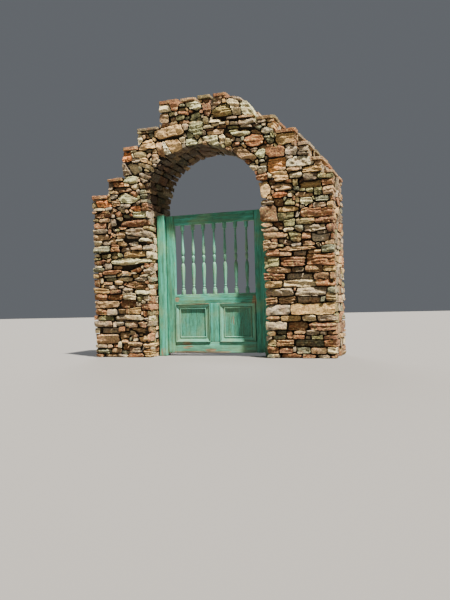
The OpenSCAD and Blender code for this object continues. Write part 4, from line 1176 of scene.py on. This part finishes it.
# Where the paint has gone down to the wood: the middle and the size of each patch, right through the leaf
PATCHES = [((-0.345, 0.0, 0.110), (0.075, FAR, 0.040)), ((-0.055, 0.0, 0.062), (0.075, FAR, 0.022)),
           ((-0.455, 0.0, 0.645), (0.026, FAR, 0.026)), ((0.20, 0.0, 0.40), (0.024, FAR, 0.06)),
           ((0.47, 0.0, 0.62), (0.03, FAR, 0.05)), ((-0.62, 0.0, 0.05), (0.04, FAR, 0.06)),
           ((-0.20, 0.0, 0.045), (0.30, FAR, 0.012))]
patch = FAR
for middle_of_patch, size_of_patch in PATCHES:
    off = paint.node("VectorMath", {"operation": "SUBTRACT"}, _0=place, _1=middle_of_patch)
    off = paint.node("VectorMath", {"operation": "DIVIDE"}, _0=off, _1=size_of_patch)
    far = paint.node("VectorMath", {"operation": "LENGTH"}, out=1, _0=off)
    patch = far.least(patch)
bare = paint.step(flake + worn * 0.24 - 0.25 * paint.step(patch, 0.5, 1.6) + 0.145, 0.60, 0.68)
wood = paint.blend(paint.step(streak, 0.4, 0.6), paint_chip(0.40, 0.29, 0.19), paint_chip(0.64, 0.52, 0.38))
colour = paint.blend(bare * 0.85, colour, wood)
# Grime, together with painted shade in the mouldings' hollows and the balusters' necks, darkens the paint
dark_grime_and_shade = paint.step(grime_and_shade_amount + (speckle - 0.5) * 0.5, 0.25, 0.9)
colour = paint.blend(dark_grime_and_shade * 0.8, colour, paint_chip(0.12, 0.15, 0.10))
relief = streak * 0.5 + (1 - bare) * 0.35 + speckle * 0.15
paint.done(colour, 0.60 + bare * 0.22, relief, depth=0.0014, strength=0.8)


def coat_on(mesh, grain, worn, pale, grime_and_shade_amount):
    """Stores the grain direction, how worn and pale the paint is, and how much grime and painted shade it
    takes at each point.
    """
    count = len(mesh.vertices)
    coats = [np.broadcast_to(np.asarray(part, float), count) for part in (worn, pale, grime_and_shade_amount)]
    for label, values in (("grain", np.asarray(grain, float)), ("coat", np.stack(coats, 1))):
        mesh.attributes.new(label, "FLOAT_VECTOR", "POINT").data.foreach_set("vector", values.ravel())
    mesh.materials.append(paint.material)


def finish_boards(piece, body, slot, *stands_for):
    """Ties a timber piece to its body and hides the solids that it stands for; the slot is not used."""
    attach(piece, body)
    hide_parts(*stands_for)


BOARD_CUT, ARRIS_WEAR, FLAT_WEAR, ARRIS_BAND = 0.045, 0.0016, 0.0009, 0.006
SORT_LINE = Vector((1.0, 7.31, 53.17))


def board(name, low, high, run, arris=0.003, seed=1, pale=0.0, grime_and_shade_amount=0.0):
    """A worn board between two corners whose grain runs along one axis."""
    mesh = bmesh.new()
    bmesh.ops.create_cube(mesh, size=1.0)
    low, high = Vector(low), Vector(high)
    for vert in mesh.verts:
        vert.co = Vector([l + (h - l) * (c + 0.5) for l, h, c in zip(low, high, vert.co)])
    bmesh.ops.bevel(mesh, geom=mesh.edges[:], offset=arris, segments=3, profile=0.6, affect="EDGES")
    for axis in range(3):
        length = high[axis] - low[axis]
        count = int(length / BOARD_CUT)
        for step in range(1, count):
            at = low[axis] + length * step / count
            normal = [float(axis == a) for a in range(3)]
            point = [at if axis == a else 0.0 for a in range(3)]
            bmesh.ops.bisect_plane(mesh, geom=mesh.verts[:] + mesh.edges[:] + mesh.faces[:],
                                   plane_co=point, plane_no=normal)
    # The cuts leave points, edges and faces in no fixed order, so each is sorted along one slanting line
    mesh.verts.sort(key=lambda vert: vert.co.dot(SORT_LINE))
    mesh.edges.sort(key=lambda edge: (edge.verts[0].co + edge.verts[1].co).dot(SORT_LINE))
    mesh.faces.sort(key=lambda face: face.calc_center_median().dot(SORT_LINE))
    data = bpy.data.meshes.new(name)
    bmesh.ops.recalc_face_normals(mesh, faces=mesh.faces[:])
    mesh.to_mesh(data)
    mesh.free()
    points = np.zeros(len(data.vertices) * 3)
    data.vertices.foreach_get("co", points)
    points = points.reshape(-1, 3)
    inner = np.minimum(points - np.array(low), np.array(high) - points)
    close = np.sort(inner, axis=1)[:, 1]
    at_arris = np.clip(1 - close / ARRIS_BAND, 0, 1)
    stretch = np.ones(3)
    stretch[run] = 0.25
    wander = lumps(points * stretch, 0.045, seed)
    centre = (np.array(low) + np.array(high)) / 2
    toward = np.sign(centre - points)
    toward[np.abs(points - centre) > 1] = 0
    dented = at_arris * np.clip(lumps(points, 0.03, seed + 3), 0, 1)
    shrink = FLAT_WEAR * (1 + wander)[:, None] + ARRIS_WEAR * dented[:, None]
    on_face = inner < arris * 1.01
    points = points + toward * on_face * shrink
    data.vertices.foreach_set("co", points.ravel())
    grain = np.full((len(points), 3), 1.0)
    grain[:, run] = 0.06
    coat_on(data, grain, at_arris, pale, grime_and_shade_amount)
    data.polygons.foreach_set("use_smooth", [True] * len(data.polygons))
    data.set_sharp_from_angle(angle=math.radians(40))
    piece = bpy.data.objects.new(name, data)
    bpy.context.scene.collection.objects.link(piece)
    return piece


for side in ("left", "right"):
    low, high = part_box(side + "_post")
    post = board(side + "_post_timber", low, high, 2, arris=0.007, seed=4 + len(side))
    finish_boards(post, "wall", "posts", side + "_post")

# The gate leaf: two stiles, three rails and a muntin, sawn from the same timber as the posts,
# mortised together, flush in front. Each entry gives the grain's axis, then how pale it is and how much grime
# and painted shade it takes.
FRAMING = {"hinge_stile": (2, 0.0, 0.0), "latch_stile": (2, 0.0, 0.1), "top_rail": (0, 0.0, 0.2),
           "middle_rail": (0, 0.0, 0.25), "bottom_rail": (0, 0.25, 0.1), "muntin": (2, 0.0, 0.2)}
stile_low, stile_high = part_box("hinge_stile")
FRONT, BACK = stile_low.y, stile_high.y
RAIL_FROM, RAIL_TO = stile_high.x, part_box("latch_stile")[0].x
SHOULDER_GAP = 0.0004
for seed, (name, (run, pale_here, grime_and_shade_here)) in enumerate(FRAMING.items()):
    low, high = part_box(name)
    if run == 0:
        low.x, high.x = RAIL_FROM + SHOULDER_GAP, RAIL_TO - SHOULDER_GAP
    elif name == "muntin":
        low.z, high.z = (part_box("bottom_rail")[1].z + SHOULDER_GAP,
                         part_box("middle_rail")[0].z - SHOULDER_GAP)
    member = board(name + "_timber", low, high, run, 0.0035, 20 + seed, pale_here, grime_and_shade_here)
    finish_boards(member, "gate", "gate_timber", name)

# The two panels: flat boards held in the grooves of the frame, their grain upright.
# Their fields are painted a duller, darker green than the frame, with upright scratches.
for side in ("left", "right"):
    low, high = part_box(side + "_panel")
    field = board(side + "_panel_board", low, high, 2, 0.002, 31 + len(side), 0.05, 0.45)
    finish_boards(field, "gate", "gate_timber", side + "_panel")

# The mouldings planted round each panel, front and back: run in softwood and mitred at the corners.
# Their section has a fillet, a long fall, a hollow, a bead and a flat sight edge;
# each point says how far in it lies and how high it stands.
MOULDING = [(0.0003, 0.0003), (0.0003, 0.0235), (0.0015, 0.0252), (0.0065, 0.0252), (0.0083, 0.0240),
            (0.0090, 0.0190), (0.0110, 0.0162), (0.018, 0.0140), (0.028, 0.0116), (0.038, 0.0092),
            (0.0445, 0.0072), (0.0465, 0.0066), (0.0475, 0.0068), (0.0485, 0.0098), (0.0500, 0.0122),
            (0.0525, 0.0134), (0.0560, 0.0134), (0.0585, 0.0122), (0.0602, 0.0098), (0.0608, 0.0062),
            (0.0625, 0.0052), (0.0629, 0.0003)]
# Points of the section that take painted shade in its hollows and along its edges, and points on its two
# crests, where the paint wears
SHADED_HOLLOWS_AND_EDGES = {0: 1.0, 1: 1.0, 4: 0.55, 5: 0.95, 6: 0.55, 10: 0.4, 11: 1.0, 12: 1.0, 13: 0.4, 18: 0.3,
               19: 0.9, 20: 1.0, 21: 1.0}
WORN_CRESTS, MOULDING_CUTS, PANEL_HALF, MOULDING_GAP = (2, 3, 15, 16), 22, 0.007, 0.0003


def mitred_frame(low, high, face_y, out):
    """Sweeps the moulding round a panel; out is -1 on the front and 1 on the back."""
    points, grain, worn, dark_grime_and_shade, faces = [], [], [], [], []
    corners = [(low[0], low[1]), (high[0], low[1]), (high[0], high[1]), (low[0], high[1])]
    inwards = [(1, 1), (-1, 1), (-1, -1), (1, -1)]
    count = len(MOULDING)
    for side in range(4):
        ahead = (side + 1) % 4
        start = len(points)
        run = 0 if side % 2 == 0 else 2
        for step in range(MOULDING_CUTS + 1):
            share = step / MOULDING_CUTS
            for number, (across, lift) in enumerate(MOULDING):
                a = np.array(corners[side]) + np.array(inwards[side]) * across
                b = np.array(corners[ahead]) + np.array(inwards[ahead]) * across
                at = a + (b - a) * share
                points.append((at[0], face_y + out * lift, at[1]))
                grain.append((0.06, 1, 1) if run == 0 else (1, 1, 0.06))
                worn.append(0.7 if number in WORN_CRESTS else 0.1)
                dark_grime_and_shade.append(SHADED_HOLLOWS_AND_EDGES.get(number, 0.0))
        for step in range(MOULDING_CUTS):
            for k in range(count):
                p = start + step * count + k
                q = start + step * count + (k + 1) % count
                face = (p, p + count, q + count, q)
                faces.append(face if out > 0 else face[::-1])
        for ring, turn in ((0, 1), (MOULDING_CUTS, -1)):
            cap = [start + ring * count + k for k in range(count)]
            faces.append(cap[::turn * (1 if out > 0 else -1)])
    points = np.array(points)
    points[:, 1] += out * -0.0005 * (1 + lumps(points, 0.02, 8)) * (np.abs(points[:, 1] - face_y) > 0.002)
    return points, faces, grain, worn, dark_grime_and_shade


frame_mid = (FRONT + BACK) / 2
rail_top, rail_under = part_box("bottom_rail")[1].z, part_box("middle_rail")[0].z
muntin_low, muntin_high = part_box("muntin")
sights = {"left": (RAIL_FROM, muntin_low.x), "right": (muntin_high.x, RAIL_TO)}
for side, (x0, x1) in sights.items():
    data = bpy.data.meshes.new(side + "_moulding_frames")
    points, faces, grain, worn, dark_grime_and_shade = [], [], [], [], []
    for out in (-1, 1):
        made = mitred_frame((x0 + MOULDING_GAP, rail_top + MOULDING_GAP),
                            (x1 - MOULDING_GAP, rail_under - MOULDING_GAP), frame_mid + out * PANEL_HALF, out)
        faces += [[len(points) + c for c in face] for face in made[1]]
        points += made[0].tolist()
        grain += made[2]
        worn += made[3]
        dark_grime_and_shade += made[4]
    data.from_pydata(points, [], faces)
    coat_on(data, grain, worn, 0.35, dark_grime_and_shade)
    data.polygons.foreach_set("use_smooth", [True] * len(data.polygons))
    data.set_sharp_from_angle(angle=math.radians(32))
    mouldings = bpy.data.objects.new(side + "_moulding_frames", data)
    bpy.context.scene.collection.objects.link(mouldings)
    finish_boards(mouldings, "gate", "gate_timber", side + "_mouldings")

# The seven balusters: turned from squares of softwood, painted, pegged into the middle and top rails.
# Heights and radii in mm from the foot to the head; the heights are scaled to the gap between the rails.
TURNED = [(0, 20), (6, 21.4), (28, 22), (50, 21.4), (55, 20), (56.5, 14), (58, 13), (60, 14.5), (63, 16),
          (68, 16), (71, 14.5), (73, 11), (80, 9.5), (86, 10), (89, 12.5), (92, 14), (97, 14), (100, 12.5),
          (102, 11), (106, 11), (110, 12.3), (130, 13.4), (160, 15), (195, 17), (230, 19), (270, 20.6),
          (300, 21), (318, 20), (335, 17.6), (346, 14.4), (352, 12), (354, 9.2), (360, 8.5), (365, 8.8),
          (368, 10), (376, 12), (386, 13.6), (398, 15.4), (410, 16.8), (420, 17), (428, 15.8), (434, 13),
          (438, 10), (441, 8.6), (445, 9.4), (448, 11), (460, 14.2), (475, 16.4), (492, 16.6), (520, 15),
          (560, 12.8), (600, 11), (640, 10), (680, 9.4), (700, 9), (704, 10.5), (706, 13), (710, 14),
          (714, 13.4), (717, 11), (720, 10), (724, 12), (728, 20), (734, 21.4), (759, 22), (784, 21.4),
          (790, 20)]
AROUND_TURNING, BALUSTER_COUNT, NARROW_NECK, LONG_TAPER = 28, 7, 9.6, (600, 640, 680)
foot_z, head_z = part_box("middle_rail")[1].z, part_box("top_rail")[0].z
scale_up = (head_z - foot_z) / TURNED[-1][0]
first_x, last_x = ((low.x + high.x) / 2 for low, high in (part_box("baluster_1"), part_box("baluster_7")))
points, faces = [], []
for height, radius in TURNED:
    for k in range(AROUND_TURNING):
        turn = 2 * math.pi * k / AROUND_TURNING
        points.append((radius / 1000 * math.cos(turn), radius / 1000 * math.sin(turn),
                       foot_z + height * scale_up))
for ring in range(len(TURNED) - 1):
    for k in range(AROUND_TURNING):
        a, b = ring * AROUND_TURNING + k, ring * AROUND_TURNING + (k + 1) % AROUND_TURNING
        faces.append((a, b, b + AROUND_TURNING, a + AROUND_TURNING))
faces.append(list(range(AROUND_TURNING))[::-1])
faces.append([(len(TURNED) - 1) * AROUND_TURNING + k for k in range(AROUND_TURNING)])
turned = bpy.data.meshes.new("turned")
turned.from_pydata(points, [], faces)
# Painted shade in the narrow necks of the turning
painted_neck_shade = [float(radius < NARROW_NECK and height not in LONG_TAPER) for height, radius in TURNED]
coat_on(turned, np.tile((1.0, 1.0, 0.08), (len(points), 1)), 0.0, 0.35,
        np.repeat(painted_neck_shade, AROUND_TURNING) * 0.6)
turned.polygons.foreach_set("use_smooth", [True] * len(turned.polygons))
turned.set_sharp_from_angle(angle=math.radians(38))
pattern = bpy.data.objects.new("turned", turned)
bpy.context.scene.collection.objects.link(pattern)

# The row that repeats a pattern: points on a line, every other one set aside, each turned at random
row = bpy.data.node_groups.new("row of like things", "GeometryNodeTree")
row.interface.new_socket("Geometry", in_out="INPUT", socket_type="NodeSocketGeometry")
row_inputs = {}
for label, kind in (("Count", "Int"), ("Start", "Vector"), ("Step", "Vector"), ("Stagger", "Vector"),
                    ("Spin", "Vector"), ("Seed", "Int"), ("Material", "Material")):
    socket = row.interface.new_socket(label, in_out="INPUT", socket_type="NodeSocket" + kind)
    row_inputs[label] = socket.identifier
row.interface.new_socket("Geometry", in_out="OUTPUT", socket_type="NodeSocketGeometry")
enter, line, number, odd, aside, move, spin, put, real, dress, leave = (row.nodes.new(kind) for kind in (
    "NodeGroupInput", "GeometryNodeMeshLine", "GeometryNodeInputIndex", "ShaderNodeMath",
    "ShaderNodeVectorMath", "GeometryNodeSetPosition", "FunctionNodeRandomValue",
    "GeometryNodeInstanceOnPoints", "GeometryNodeRealizeInstances", "GeometryNodeSetMaterial",
    "NodeGroupOutput"))
odd.operation, aside.operation, spin.data_type = "MODULO", "SCALE", "FLOAT_VECTOR"
odd.inputs[1].default_value = 2.0
spin.inputs["Min"].default_value = (0, 0, 0)
for giver, output, taker, name in (
        (enter, "Count", line, "Count"), (enter, "Start", line, "Start Location"),
        (enter, "Step", line, "Offset"), (number, "Index", odd, 0), (enter, "Stagger", aside, "Vector"),
        (odd, "Value", aside, "Scale"), (line, "Mesh", move, "Geometry"), (aside, "Vector", move, "Offset"),
        (enter, "Spin", spin, "Max"), (enter, "Seed", spin, "Seed"), (move, "Geometry", put, "Points"),
        (enter, "Geometry", put, "Instance"), (spin, "Value", put, "Rotation"),
        (put, "Instances", real, "Geometry"), (real, "Geometry", dress, "Geometry"),
        (enter, "Material", dress, "Material"), (dress, "Geometry", leave, "Geometry")):
    row.links.new(giver.outputs[output], taker.inputs[name])


def in_a_row(name, pattern, **values):
    """Repeats a pattern with the row of like things, uses it up, and gives the result as a plain mesh."""
    modifier = pattern.modifiers.new("row", "NODES")
    modifier.node_group = row
    for label, value in values.items():
        modifier[row_inputs[label]] = value
    bpy.context.view_layer.update()
    result = bpy.data.meshes.new_from_object(pattern.evaluated_get(bpy.context.evaluated_depsgraph_get()))
    result.name = name
    bpy.data.objects.remove(pattern)
    piece = bpy.data.objects.new(name, result)
    bpy.context.scene.collection.objects.link(piece)
    return piece


balusters = in_a_row("turned_balusters", pattern, Count=BALUSTER_COUNT, Start=(first_x, frame_mid, 0.0),
                     Step=((last_x - first_x) / (BALUSTER_COUNT - 1), 0.0, 0.0), Spin=(0.0, 0.0, 2 * math.pi),
                     Seed=3, Material=paint.material)
finish_boards(balusters, "gate", "gate_timber", *["baluster_%d" % (k + 1) for k in range(BALUSTER_COUNT)])

# The two butt hinges behind the leaf: rusted iron, each held by three slotted screws a side.
# Their leaves and pins are the frame's own solids, which only get the finish of the iron here.
rust = Finish("rusted iron")
place = rust.node("TexCoord", out=3)
scale_noise = rust.noise(place, 220.0, 5.0, 0.65)
blotch = rust.noise(place, 60.0, 4.0, 0.6)
colour = rust.blend(rust.step(blotch, 0.38, 0.62), paint_chip(0.27, 0.17, 0.12), paint_chip(0.43, 0.26, 0.16))
colour = rust.blend(rust.step(scale_noise, 0.58, 0.7) * 0.7, colour, paint_chip(0.16, 0.11, 0.09))
rust.done(colour, 0.82, scale_noise * 0.6 + blotch * 0.4, depth=0.0008, strength=0.9)
rust.shader.inputs["Metallic"].default_value = 0.35
for name, node in nodes.items():
    if "hinge" in name and "stile" not in name:
        node.data.materials.clear()
        node.data.materials.append(rust.material)

# The screws of the hinges: iron, with flat slotted heads, rusted over, a little proud of the hinge leaves.
# A head is two halves of a low dome, one on each side of its slot, over a thin disc that floors the slot.
SCREW_RADIUS, SLOT_HALF, HEAD_RISE, SLOT_EDGE = 0.0046, 0.0007, 0.0016, 0.0018
FROM_PIN, SCREW_PITCH, SCREW_STAGGER, HINGE_PLATE = 0.024, 0.0385, 0.011, 0.003
hinge_low, hinge_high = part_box("lower_hinge_pin")
hinge_x, lower_z = (hinge_low.x + hinge_high.x) / 2, (hinge_low.z + hinge_high.z) / 2
hinge_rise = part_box("upper_hinge_pin")[0].z - hinge_low.z
leaf_face = BACK + HINGE_PLATE
reach = math.acos(SLOT_HALF / SCREW_RADIUS)
half_head = [(SCREW_RADIUS * math.cos(a), SCREW_RADIUS * math.sin(a)) for a in np.linspace(-reach, reach, 11)]
for body, side, spin_seed in (("wall", -1, 5), ("gate", 1, 8)):
    head = bmesh.new()
    for way in (-1, 1):
        loops = []
        for rise, size in ((-0.0004, 1.0), (0.3 * HEAD_RISE, 1.0), (0.8 * HEAD_RISE, 0.86), (HEAD_RISE, 0.5)):
            loops.append([head.verts.new((way * (SLOT_EDGE + (x - SLOT_EDGE) * size), rise, z * size))
                          for x, z in half_head])
        for lower, upper in zip(loops, loops[1:]):
            for k in range(len(half_head)):
                after = (k + 1) % len(half_head)
                head.faces.new((lower[k], lower[after], upper[after], upper[k]))
        head.faces.new(loops[0])
        head.faces.new(loops[-1])
    slot_floor = bmesh.ops.create_cone(head, cap_ends=True, segments=20, radius1=SCREW_RADIUS * 0.97,
                                       radius2=SCREW_RADIUS * 0.97, depth=0.0005)
    bmesh.ops.rotate(head, verts=slot_floor["verts"], cent=(0, 0, 0),
                     matrix=Matrix.Rotation(math.pi / 2, 3, "X"))
    bmesh.ops.recalc_face_normals(head, faces=head.faces[:])
    screw = bpy.data.meshes.new("screw head")
    head.to_mesh(screw)
    head.free()
    screw_pattern = bpy.data.objects.new("screw head", screw)
    bpy.context.scene.collection.objects.link(screw_pattern)
    column = in_a_row("column of screws", screw_pattern, Count=3,
                      Start=(hinge_x + side * FROM_PIN, leaf_face, lower_z - SCREW_PITCH),
                      Step=(0.0, 0.0, SCREW_PITCH), Stagger=(side * SCREW_STAGGER, 0.0, 0.0),
                      Spin=(0.0, math.pi, 0.0), Seed=spin_seed, Material=rust.material)
    screws = in_a_row(body + "_hinge_screws", column, Count=2, Step=(0.0, 0.0, hinge_rise),
                      Material=rust.material)
    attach(screws, body)
